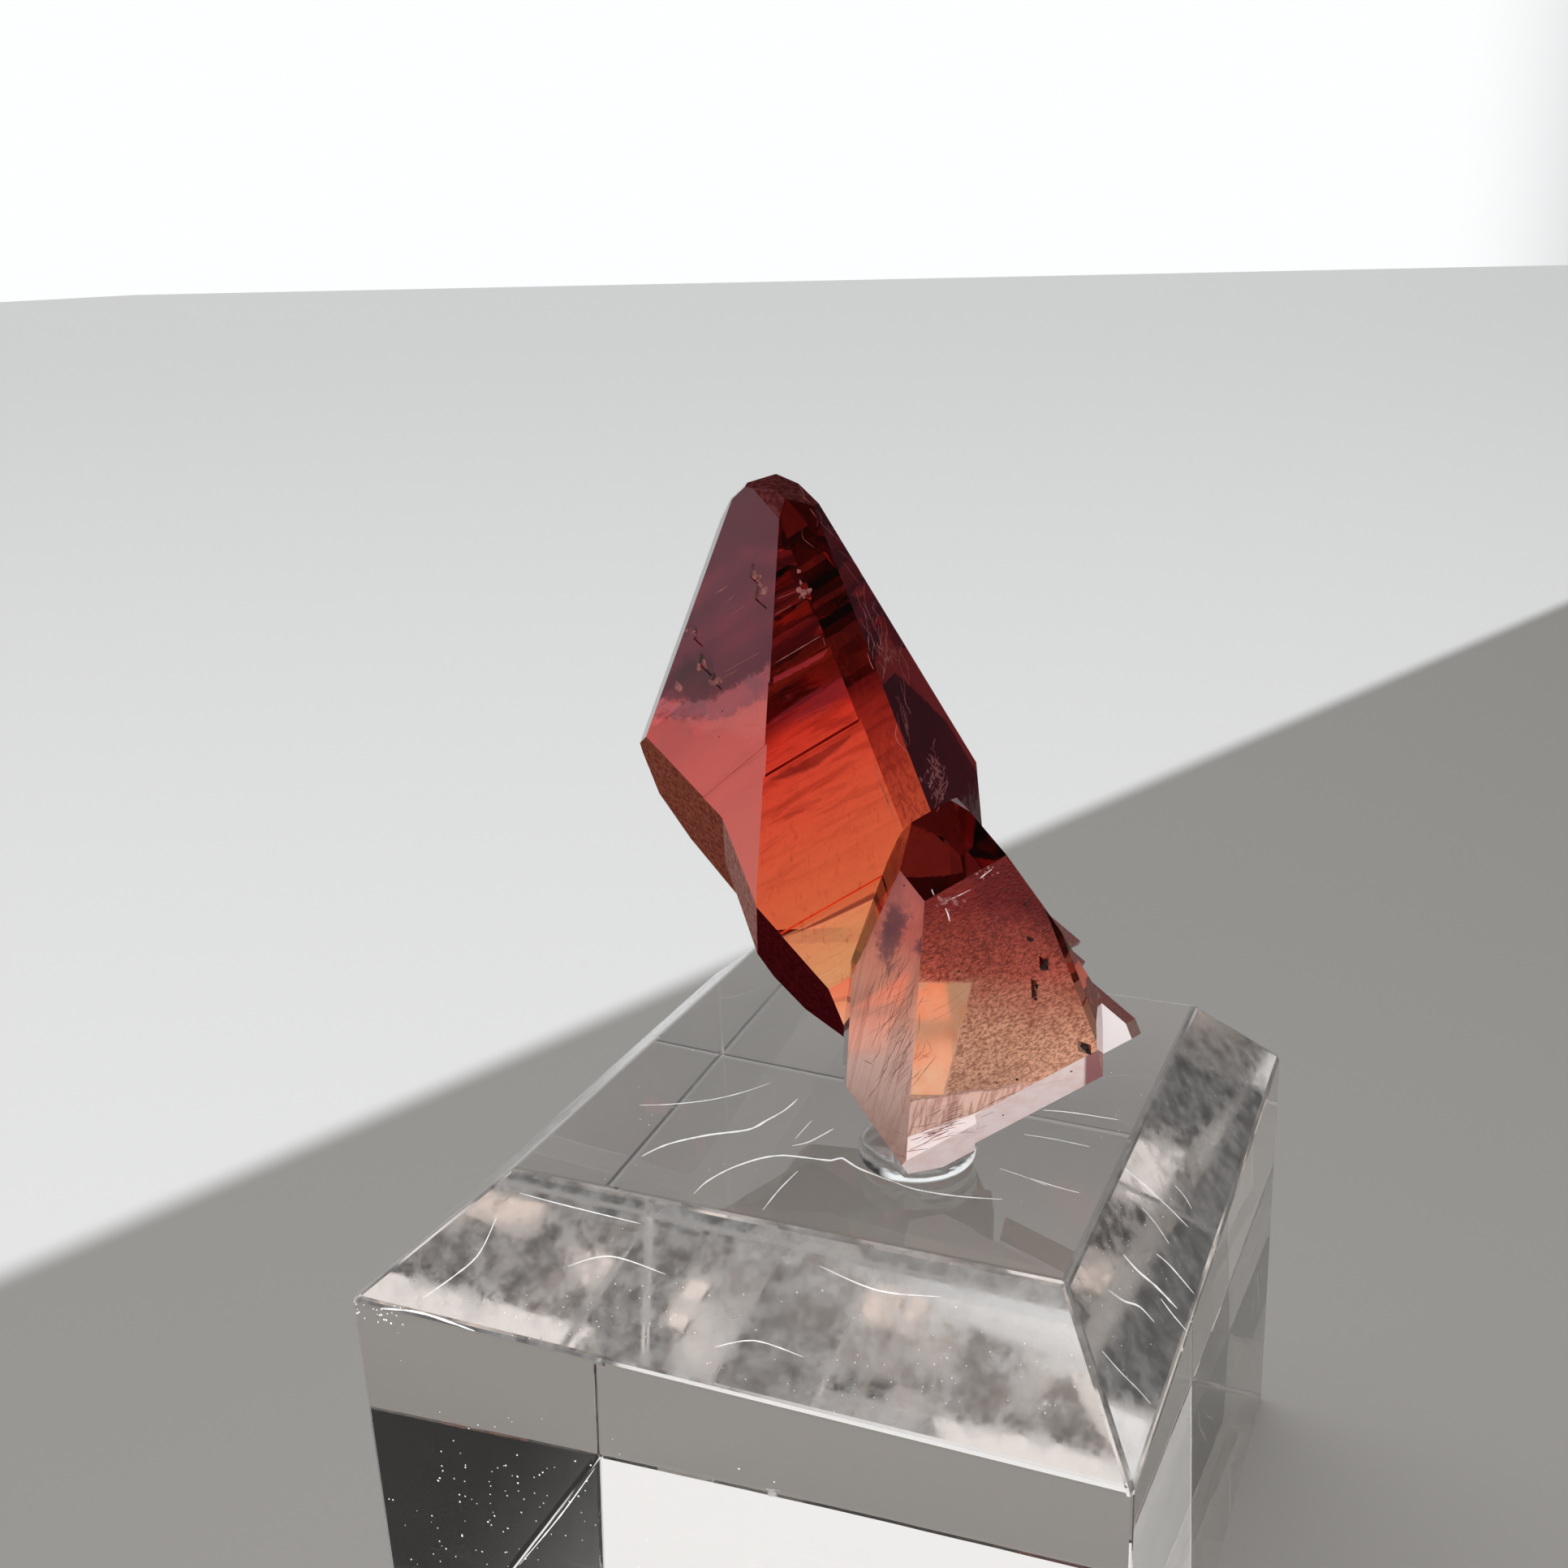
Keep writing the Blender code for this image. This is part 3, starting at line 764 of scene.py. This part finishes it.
def main_right_tone(look, tone, level):
    """Ribbed band and dark right facet of the large crystal."""
    ribs = look.noise(3.6, detail=3.0, rough=0.6, stretch=9.0, along=CRYSTAL_AXIS, warp=0.4)
    band = look.ramp(level, MAIN_BAND_TONES)
    band = look.mix(look.part(look.step(ribs, 0.45, 0.60), 0.7), band, RIB_TONE)
    tone = look.mix(look.facet("main_band"), tone, band)
    cloudy = look.noise(0.7, detail=3.0, rough=0.5, stretch=5.0, along=CRYSTAL_AXIS)
    return look.mix(look.facet("main_right"), tone, look.mix(cloudy, *MAIN_RIGHT_TONES))


def main_tone(look, planes):
    """Colour, matt share and roughness of the large crystal: near black at the tip, orange at the foot."""
    cloud = look.noise(0.25, detail=2.0)
    level, trace = below_tip(look, planes, cloud)
    streaks = look.noise(1.5, detail=4.0, rough=0.6, stretch=7.0, along=trace, warp=0.5)
    tone = main_front_tone(look, level, streaks)
    tone, dusk, stain = main_left_tone(look, planes, tone, level, cloud)
    tone = main_right_tone(look, tone, level)
    strip = zone(look, planes, "red_strip", soft=0.06, ragged=0.2)
    tone = look.mix(strip, tone, RED_STRIP_TONE)
    mottle = look.all_of(zone(look, planes, "mottled", soft=0.3, ragged=1.5), look.step(streaks, 0.42, 0.58))
    tone = look.mix(mottle, tone, MOTTLED_TONE)
    # A dark band and a wedge of painted shade below the growth ledges
    band = zone(look, planes, "ledge_shade_band", soft=0.1, ragged=0.25)
    growth = look.either(band, zone(look, planes, "wedge", soft=0.05))
    tone = look.mix(look.part(growth, 0.88), tone, LEDGE_SHADE_TONE)
    mottling = look.step(look.noise(4.0, detail=3.0, rough=0.6), 0.35, 0.65)
    for name, tones in DULL_TONES.items():
        tone = look.mix(look.facet(name), tone, look.mix(mottling, *tones))
    tip = look.either(*(look.facet(name) for name in TIP_FACETS))
    tone = look.mix(tip, tone, look.mix(mottling, *TIP_TONES))
    shoulder = look.either(look.facet("shoulder_high"), look.facet("shoulder_low"))
    pink = look.all_of(look.facet("main_left"), look.invert(dusk), look.step(level, -8.0, -2.0, 0.5, 1.0))
    matt = look.part(dusk, MAIN_MATT["dusk"])
    masks = {
        "strip": strip,
        "mottle": mottle,
        "shoulder": shoulder,
        "stain": stain,
        "pink": pink,
        "low": zone(look, planes, "low_front", soft=0.1),
        "right": look.facet("main_right"),
        "tip": tip,
        "dark_foot": look.facet("dark_foot"),
    }
    for name, mask in masks.items():
        matt = look.either(matt, look.part(mask, MAIN_MATT[name]))
    own = look.either(shoulder, look.facet("dark_foot"), look.facet("main_right"))
    # No shine on the shoulders, and on the tip and dark foot, which carry a painted dark reflection
    dull = look.either(shoulder, look.facet("dark_foot"), tip)
    rough = look.either(look.part(dusk, DUSK_ROUGH), look.part(shoulder, SHOULDER_ROUGH))
    return tone, matt, rough, own, dull, streaks


def small_left_tone(look, planes, tone, level, fibres):
    """Left facet of the small crystal: violet above, salmon in the middle, pale and fibrous below."""
    left = look.ramp(level, SMALL_LEFT_TONES)
    left = look.mix(look.part(look.step(fibres, 0.46, 0.66), 0.42), left, FIBRE_TONE)
    patch = zone(look, planes, "violet", soft=0.35, ragged=1.6)
    violet = look.either(patch, zone(look, planes, "violet_edge", soft=0.2, ragged=1.0))
    left = look.mix(look.part(violet, 0.85), left, VIOLET_TONE)
    return look.mix(look.facet("small_left"), tone, left)


def small_tone(look, planes):
    """Colour, matt share and roughness of the small crystal: dark cap, grainy bronze front, pale foot."""
    grain = look.noise(9.0, detail=3.0, rough=0.7, stretch=1.8, along=GRAIN_DIRECTION, warp=0.3)
    coarse = look.noise(1.1, detail=4.0, rough=0.6)
    start, end = (plane_point(planes["small_left"], pixel) for pixel in FIBRE_LINE)
    fan = (end - start).normalized()
    fibres = look.noise(5.0, detail=4.0, rough=0.65, stretch=22.0, along=fan, warp=0.4)
    waver = look.part(look.math("SUBTRACT", coarse, 0.5), SMALL_LEVEL_WAVER)
    level = look.math("ADD", look.along(Vector((0, 0, 1))), waver)
    tone = small_left_tone(look, planes, look.ramp(level, SMALL_TONES), level, fibres)
    above = zone(look, planes, "above_foot", soft=0.08, ragged=0.3)
    window = zone(look, planes, "window", soft=0.07, ragged=0.15)
    front = look.all_of(above, look.invert(window))
    dark_grain = look.ramp(level, DARK_GRAIN_TONES)
    light_grain = look.ramp(level, LIGHT_GRAIN_TONES)
    tone = look.mix(front, tone, look.mix(look.step(grain, 0.34, 0.66), dark_grain, light_grain))
    tone = look.mix(window, tone, look.mix(look.step(coarse, 0.35, 0.7), *WINDOW_TONES))
    foot = look.either(zone(look, planes, "pale_foot", soft=0.06, ragged=0.1), look.facet("small_foot"))
    tone = look.mix(foot, tone, look.mix(look.step(coarse, 0.4, 0.7), *FOOT_TONES))
    plate = look.facet("plate_front")
    tone = look.mix(plate, tone, PLATE_TONE)
    crust = look.either(look.facet("plate_top"), look.facet("lump_top"))
    tone = look.mix(crust, tone, look.mix(look.step(grain, 0.4, 0.6), *CRUST_TONES))
    below = look.all_of(look.facet("small_front"), look.invert(above), look.invert(foot))
    tone = look.mix(below, tone, look.mix(look.step(fibres, 0.42, 0.62), *BELOW_WINDOW_TONES))
    tone = look.mix(zone(look, planes, "foot_edge", soft=0.1), tone, FOOT_EDGE_TONE)
    matt = look.all_of(front, look.step(level, 37.0, 43.5, 0.62, 0.55))
    masks = {"foot": foot, "plate": plate, "crust": crust, "below": below, "window": window}
    for name, mask in masks.items():
        matt = look.either(matt, look.part(mask, SMALL_MATT[name]))
    matt = look.either(matt, look.all_of(look.facet("small_left"), look.step(level, 34.0, 41.0, 0.45, 0.42)))
    rough = look.all_of(front, look.step(level, 38.0, 44.0, 0.34, 0.12))
    rough = look.either(rough, look.part(look.either(foot, crust), FOOT_ROUGH))
    rough = look.either(rough, look.part(look.facet("small_left"), SMALL_LEFT_ROUGH))
    rough = look.either(rough, look.part(window, WINDOW_ROUGH))
    return tone, matt, rough, look.all_of(front, grain, look.step(level, 39.0, 44.0, 1.0, 0.25))


def crystal_look(planes):
    """Clear crystal, red to orange, with matt zones where its faces are etched or dusty, and a painted dark
    reflection on the tip and the dark foot.
    """
    look = Look("rhodochrosite_look")
    look.rough_edge = look.math("SUBTRACT", look.noise(2.2, detail=4.0, rough=0.65), 0.5)
    look.set("IOR", CRYSTAL_INDEX)
    look.absorb(CRYSTAL_LOSS)
    main, main_matt, main_rough, own, dull, streaks = main_tone(look, planes)
    small, small_matt, small_rough, grain = small_tone(look, planes)
    look.set("Specular IOR Level", CRYSTAL_SHINE)
    look.set("Specular IOR Level", look.step(dull, 0.0, 1.0, CRYSTAL_SHINE, 0.0))
    side = look.step(look.along(PARTING_DIRECTION, PARTING_PLACE), -PARTING_SOFT, PARTING_SOFT)
    side = look.either(side, *(look.facet(name) for name in SMALL_FACETS))
    side = look.all_of(side, *(look.invert(look.facet(name)) for name in MAIN_FACETS), look.invert(own))
    look.set("Base Color", look.mix(side, main, small))
    look.set("Transmission Weight", 1.0)
    look.set("Transmission Weight", look.invert(look.blend(side, main_matt, small_matt)))
    wear = look.step(look.noise(0.8, detail=5.0, rough=0.65), 0.50, 0.70, 0.01, 0.06)
    look.set("Roughness", look.math("ADD", look.blend(side, main_rough, small_rough), wear, clamp=True))
    relief = look.bump(streaks, STREAK_DEPTH, 0.25)
    look.set("Normal", look.bump(look.part(grain, side), GRAIN_DEPTH, 1.0, relief))
    return look.material


def gel_look():
    """Soft clear gel, faintly cloudy."""
    look = Look("gel_look")
    look.set("Transmission Weight", 1.0)
    look.set("IOR", GEL_INDEX)
    cloud = look.noise(1.4)
    look.set("Base Color", look.mix(cloud, *GEL_TONES))
    look.set("Roughness", look.step(cloud, 0.3, 0.75, 0.02, 0.16))
    look.set("Normal", look.bump(look.noise(1.1, detail=2.0), 0.05, 0.4))
    return look.material


def acrylic_look():
    """Clear cast acrylic, polished, with fine wear."""
    look = Look("acrylic_look")
    look.set("Transmission Weight", 1.0)
    look.set("IOR", ACRYLIC_INDEX)
    look.absorb(ACRYLIC_LOSS)
    wear = look.noise(0.9, detail=5.0, rough=0.65)
    hair = look.noise(2.6, detail=2.0, stretch=26.0, along=HAIR_DIRECTION, warp=0.6)
    fine = look.all_of(look.step(hair, 0.66, 0.74), look.step(wear, 0.45, 0.7))
    look.set("Base Color", look.mix(wear, *ACRYLIC_TONES))
    bevel = look.facet("bevel")
    haze = look.all_of(bevel, look.step(wear, 0.30, 0.70, *BEVEL_HAZE))
    look.set("Transmission Weight", look.invert(haze))
    polish = look.math("ADD", look.part(fine, 0.2), look.step(wear, 0.5, 0.75, 0.0, 0.035))
    blur = look.all_of(bevel, look.step(wear, 0.35, 0.65, *BEVEL_ROUGH))
    look.set("Roughness", look.math("ADD", polish, blur))
    look.set("Normal", look.bump(look.noise(0.35, detail=1.0), ACRYLIC_RELIEF, 0.3))
    return look.material


def plain_look(name, light, dark, rough, scale, shine=0.3, glow=0.0):
    """Opaque mineral, dust and painted glints, mottled between two tones; a glow is painted light that stands
    for light caught in scratches and dust.
    """
    look = Look(name)
    mottle = look.noise(scale, detail=4.0, rough=0.6)
    look.set("Base Color", look.mix(look.step(mottle, 0.3, 0.7), dark, light))
    look.set("Roughness", look.step(mottle, 0.2, 0.8, rough, min(1.0, rough + 0.3)))
    look.set("Specular IOR Level", shine)
    if glow:
        look.set("Emission Color", light)
        look.set("Emission Strength", glow)
    look.set("Normal", look.bump(mottle, 0.03, 0.6))
    return look.material


def smooth_route(pixels, spacing=5.0):
    """Points of a soft curve through given pixels."""
    points = [Vector(pixel) for pixel in pixels]
    points = [points[0]] + points + [points[-1]]
    route = []
    for before, start, end, after in zip(points, points[1:], points[2:], points[3:]):
        count = max(2, int((end - start).length / spacing))
        for number in range(count):
            t = number / count
            route.append(0.5 * (2 * start + (end - before) * t
                                + (2 * before - 5 * start + 4 * end - after) * t * t
                                + (3 * start - before - 3 * end + after) * t * t * t))
    route.append(points[-1])
    return route


def add_ribbon(shape, stations, width, thickness):
    """Adds a closed ribbon, tapered at its ends, through (place, normal) stations."""
    if len(stations) < 3:
        return
    rings = []
    last = len(stations) - 1
    for number, (place, normal) in enumerate(stations):
        ahead = stations[min(number + 1, last)][0] - stations[max(number - 1, 0)][0]
        side = ahead.cross(normal).normalized()
        taper = math.sin(math.pi * (number + 0.4) / (last + 0.8)) ** 0.5
        wobble = 0.75 + 0.5 * noise.noise(place / MM * RIBBON_CELLS)
        half = 0.5 * width * taper * max(RIBBON_LEAST, wobble) * MM
        rise = thickness * MM
        corners = (place - side * half, place + normal * rise, place + side * half, place - normal * rise)
        rings.append([shape.verts.new(corner) for corner in corners])
    for low, high in zip(rings, rings[1:]):
        for corner in range(4):
            after = (corner + 1) % 4
            shape.faces.new((low[corner], low[after], high[after], high[corner]))
    shape.faces.new(rings[0][::-1])
    shape.faces.new(rings[-1])


def mesh_piece(name, shape, smooth=False):
    """Turns an edit mesh into a piece, with its faces turned outwards."""
    bmesh.ops.recalc_face_normals(shape, faces=shape.faces)
    mesh = bpy.data.meshes.new(name)
    shape.to_mesh(mesh)
    shape.free()
    for face in mesh.polygons:
        face.use_smooth = smooth
    return link_mesh(name, mesh)


def draw_lines(name, tree, lines, offset, thickness):
    """One piece of many ribbons, laid on a surface along routes given in pixels."""
    shape = bmesh.new()
    for pixels, width in lines:
        stations = []
        facing = None
        for pixel in smooth_route(pixels):
            found = surface_under(tree, pixel)
            if found is None:
                continue
            place, normal, _ = found
            if facing is not None and normal.dot(facing) < LINE_BREAK:
                add_ribbon(shape, stations, width, thickness)
                stations = []
            facing = normal
            stations.append((place + normal * offset * MM, normal))
        add_ribbon(shape, stations, width, thickness)
    return mesh_piece(name, shape)


def add_flake(shape, place, normal, radius, thickness, draw, sides=9):
    """Adds a thin flake with a ragged outline."""
    across = normal.orthogonal().normalized()
    up = normal.cross(across)
    rings = []
    reach = [radius * draw.uniform(0.55, 1.1) for _ in range(sides)]
    for level in (-thickness, thickness):
        ring = []
        for number in range(sides):
            angle = 2 * math.pi * number / sides
            out = (across * math.cos(angle) + up * math.sin(angle)) * reach[number]
            ring.append(shape.verts.new(place + (out + normal * level) * MM))
        rings.append(ring)
    for number in range(sides):
        after = (number + 1) % sides
        shape.faces.new((rings[0][number], rings[0][after], rings[1][after], rings[1][number]))
    shape.faces.new(rings[0][::-1])
    shape.faces.new(rings[1])


def scatter_flakes(name, tree, spots, offset, thickness, seed):
    """One piece of ragged flakes: each spot is a pixel, its spread, a count and a radius."""
    draw = random.Random(seed)
    shape = bmesh.new()
    for pixel, spread, count, radius in spots:
        for _ in range(count):
            near = (pixel[0] + draw.gauss(0, spread[0]), pixel[1] + draw.gauss(0, spread[1]))
            found = surface_under(tree, near)
            if found:
                place, normal, _ = found
                size = radius * draw.uniform(0.5, 1.3)
                add_flake(shape, place + normal * offset * MM, normal, size, thickness, draw)
    return mesh_piece(name, shape)


def add_lump(shape, place, normal, radius, flat, seed):
    """Adds a small ragged lump, flattened along the surface's normal."""
    made = bmesh.ops.create_icosphere(shape, subdivisions=2, radius=1.0)
    turn = normal.to_track_quat("Z", "Y").to_matrix()
    for vertex in made["verts"]:
        ragged = 1.0 + LUMP_RAGGED * noise.noise(vertex.co * LUMP_CELLS + Vector((seed, 0, 0)))
        local = Vector((vertex.co.x, vertex.co.y, vertex.co.z * flat)) * radius * ragged * MM
        vertex.co = place + turn @ local


def scatter_lumps(name, tree, spots, seed):
    """One piece of ragged lumps: each spot is a pixel and a radius in millimetres."""
    draw = random.Random(seed)
    shape = bmesh.new()
    for pixel, radius in spots:
        found = surface_under(tree, pixel)
        if found:
            place, normal, _ = found
            add_lump(shape, place, normal, radius, LUMP_FLAT, draw.uniform(0, 50))
    return mesh_piece(name, shape)


def strokes(middle, spread, count, slant, length, width, seed):
    """Random short lines round a pixel, about parallel to a slant, for draw_lines."""
    draw = random.Random(seed)
    lines = []
    for _ in range(count):
        x = middle[0] + draw.gauss(0, spread[0])
        y = middle[1] + draw.gauss(0, spread[1]) + (x - middle[0]) * spread[2]
        reach = length * draw.uniform(*STROKE_LENGTHS)
        turn = math.radians(slant + draw.gauss(0, STROKE_SLANT))
        step = (math.cos(turn) * reach, -math.sin(turn) * reach)
        bend = draw.gauss(0, STROKE_BEND) * reach
        route = [(x, y), (x + step[0] / 2 + bend, y + step[1] / 2), (x + step[0], y + step[1])]
        lines.append((route, width * draw.uniform(*STROKE_WIDTHS)))
    return tuple(lines)


def all_strokes(groups):
    """Lines of several groups of strokes."""
    return tuple(line for group in groups for line in strokes(*group))


def make_crystals():
    """The joined crystals, with their inclusions, growth lines and flakes."""
    body = copy_node("rhodochrosite_crystals", "crystal_body")
    tree = surface_tree(body)
    planes = mark_facets(body, tree)
    finish_piece(body, crystal_look(planes), "rhodochrosite_crystals")
    pink = plain_look("healed_crack_look", *HEALED_CRACK_LOOK)
    dark = plain_look("growth_line_look", *GROWTH_LINE_LOOK)
    black = plain_look("inclusion_look", *INCLUSION_LOOK)
    brown = plain_look("film_look", *FILM_LOOK)
    streaks = draw_lines("pale_growth_streaks", tree, PALE_STREAKS, offset=0.012, thickness=0.006)
    finish_piece(streaks, pink)
    lines = draw_lines("dark_growth_lines", tree, DARK_LINES, offset=-0.008, thickness=0.010)
    finish_piece(lines, dark)
    fibres = all_strokes(FIBRE_STROKES) + FIBRE_LINES
    hairs = draw_lines("fine_fibres", tree, fibres, offset=0.006, thickness=0.004)
    finish_piece(hairs, brown)
    flakes = scatter_flakes("healed_flakes", tree, HEALED_SPOTS, offset=0.01, thickness=0.004, seed=5)
    finish_piece(flakes, pink)
    veils = draw_lines("feathery_veils", tree, all_strokes(VEIL_STROKES), offset=0.004, thickness=0.004)
    finish_piece(veils, plain_look("veil_look", *VEIL_LOOK))
    # White strokes of painted highlight on the crystals
    glints = draw_lines("white_glints", tree, GLINTS, offset=0.006, thickness=0.005)
    finish_piece(glints, plain_look("glint_look", *GLINT_LOOK))
    specks = scatter_lumps("black_inclusions", tree, INCLUSIONS, seed=11)
    finish_piece(specks, black)


def make_pad():
    """The gel pad, smoothly domed."""
    pad = copy_node("gel_pad", "pad_body")
    for face in pad.data.polygons:
        face.use_smooth = True
    finish_piece(pad, gel_look(), "gel_pad")


def make_block():
    """The acrylic block with its scratches and dust."""
    block = copy_node("acrylic_block", "block_body")
    bevel = block.data.attributes.new("bevel", "FLOAT", "FACE")
    low, high = BEVEL_TILT
    bevel.data.foreach_set("value", [float(low < face.normal.z < high) for face in block.data.polygons])
    finish_piece(block, acrylic_look(), "acrylic_block")
    tree = surface_tree(block)
    # Scratches and dust share one white with a painted glow, standing for the light their edges catch
    white = plain_look("scratch_look", *SCRATCH_LOOK, glow=SCRATCH_PAINTED_GLOW)
    scratches = draw_lines("block_scratches", tree, SCRATCHES, offset=0.010, thickness=0.008)
    finish_piece(scratches, white)
    dust = scatter_flakes("block_dust", tree, DUST_SPOTS, offset=0.006, thickness=0.005, seed=23)
    finish_piece(dust, white)


def make_floor():
    """A plain pale floor, darker on the object's side."""
    corners = [(-1, -1), (1, -1), (1, 1), (-1, 1)]
    corners = [(x * FLOOR_REACH, y * FLOOR_REACH, -FLOOR_DROP) for x, y in corners]
    mesh = bpy.data.meshes.new("floor")
    mesh.from_pydata(corners, [], [(0, 1, 2, 3)])
    made = link_mesh("floor", mesh)
    look = Look("floor_look")
    start, end = FLOOR_LINE
    along = (end - start).normalized()
    side = look.step(look.along(Vector((along.y, -along.x, 0)), start), -FLOOR_SOFT, FLOOR_SOFT)
    forward = look.along(Vector((0, -1, 0)), Vector((0, FLOOR_FRONT, 0)))
    side = look.either(side, look.step(forward, -FLOOR_FRONT_SOFT, FLOOR_FRONT_SOFT))
    look.set("Base Color", look.mix(side, FLOOR_PALE, FLOOR_GREY))
    look.set("Roughness", FLOOR_ROUGH)
    look.set("Specular IOR Level", FLOOR_SHINE)
    look.set("Emission Color", look.mix(side, (1.0, 1.0, 1.0), (0.0, 0.0, 0.0)))
    look.set("Emission Strength", FLOOR_GLOW)
    look.set("Normal", look.bump(look.noise(0.55, detail=2.0), FLOOR_RELIEF, 0.15))
    made.data.materials.append(look.material)


def world_level(tree, coords, direction, edge):
    """Soft step of how far a direction of sight turns towards another."""
    dot = tree.nodes.new("ShaderNodeVectorMath")
    dot.operation = "DOT_PRODUCT"
    dot.inputs[1].default_value = Vector(direction).normalized()
    tree.links.new(coords.outputs["Generated"], dot.inputs[0])
    ramp = tree.nodes.new("ShaderNodeMapRange")
    ramp.interpolation_type = "SMOOTHSTEP"
    ramp.inputs["From Min"].default_value = edge[0]
    ramp.inputs["From Max"].default_value = edge[1]
    tree.links.new(dot.outputs["Value"], ramp.inputs["Value"])
    return ramp.outputs["Result"]


def light_up():
    """Lights the world as named above, and sets how light is traced."""
    scene = bpy.context.scene
    world = bpy.data.worlds.new("studio")
    scene.world = world
    world.use_nodes = True
    tree = world.node_tree
    tree.nodes.clear()
    out = tree.nodes.new("ShaderNodeOutputWorld")
    back = tree.nodes.new("ShaderNodeBackground")
    coords = tree.nodes.new("ShaderNodeTexCoord")
    wall = tree.nodes.new("ShaderNodeMath")
    wall.operation = "MULTIPLY"
    tree.links.new(world_level(tree, coords, WALL_DIRECTION, WALL_EDGE), wall.inputs[0])
    tree.links.new(world_level(tree, coords, WALL_SIDE_DIRECTION, WALL_SIDE_EDGE), wall.inputs[1])
    bright = tree.nodes.new("ShaderNodeMath")
    bright.operation = "MAXIMUM"
    tree.links.new(wall.outputs[0], bright.inputs[0])
    tree.links.new(world_level(tree, coords, BOX_DIRECTION, BOX_EDGE), bright.inputs[1])
    level = tree.nodes.new("ShaderNodeMath")
    level.operation = "MULTIPLY_ADD"
    level.inputs[1].default_value = BRIGHT_LEVEL
    level.inputs[2].default_value = DARK_LEVEL
    tree.links.new(bright.outputs[0], level.inputs[0])
    tree.links.new(level.outputs[0], back.inputs["Strength"])
    back.inputs["Color"].default_value = (*LIGHT_TINT, 1.0)
    tree.links.new(back.outputs["Background"], out.inputs["Surface"])
    lamp = bpy.data.lights.new("soft_fill", "AREA")
    lamp.size = FILL_SIZE
    lamp.energy = FILL_POWER
    lamp.use_shadow = False
    made = bpy.data.objects.new("soft_fill", lamp)
    scene.collection.objects.link(made)
    made.location = FILL_PLACE
    made.rotation_euler = (FILL_TARGET - made.location).to_track_quat("-Z", "Y").to_euler()
    made.visible_glossy = False
    made.visible_transmission = False
    scene.view_settings.view_transform = "Standard"
    scene.cycles.max_bounces = LIGHT_BOUNCES
    scene.cycles.transmission_bounces = LIGHT_BOUNCES
    scene.cycles.glossy_bounces = LIGHT_BOUNCES
    scene.cycles.use_denoising = True


make_crystals()
make_pad()
make_block()
make_floor()
light_up()
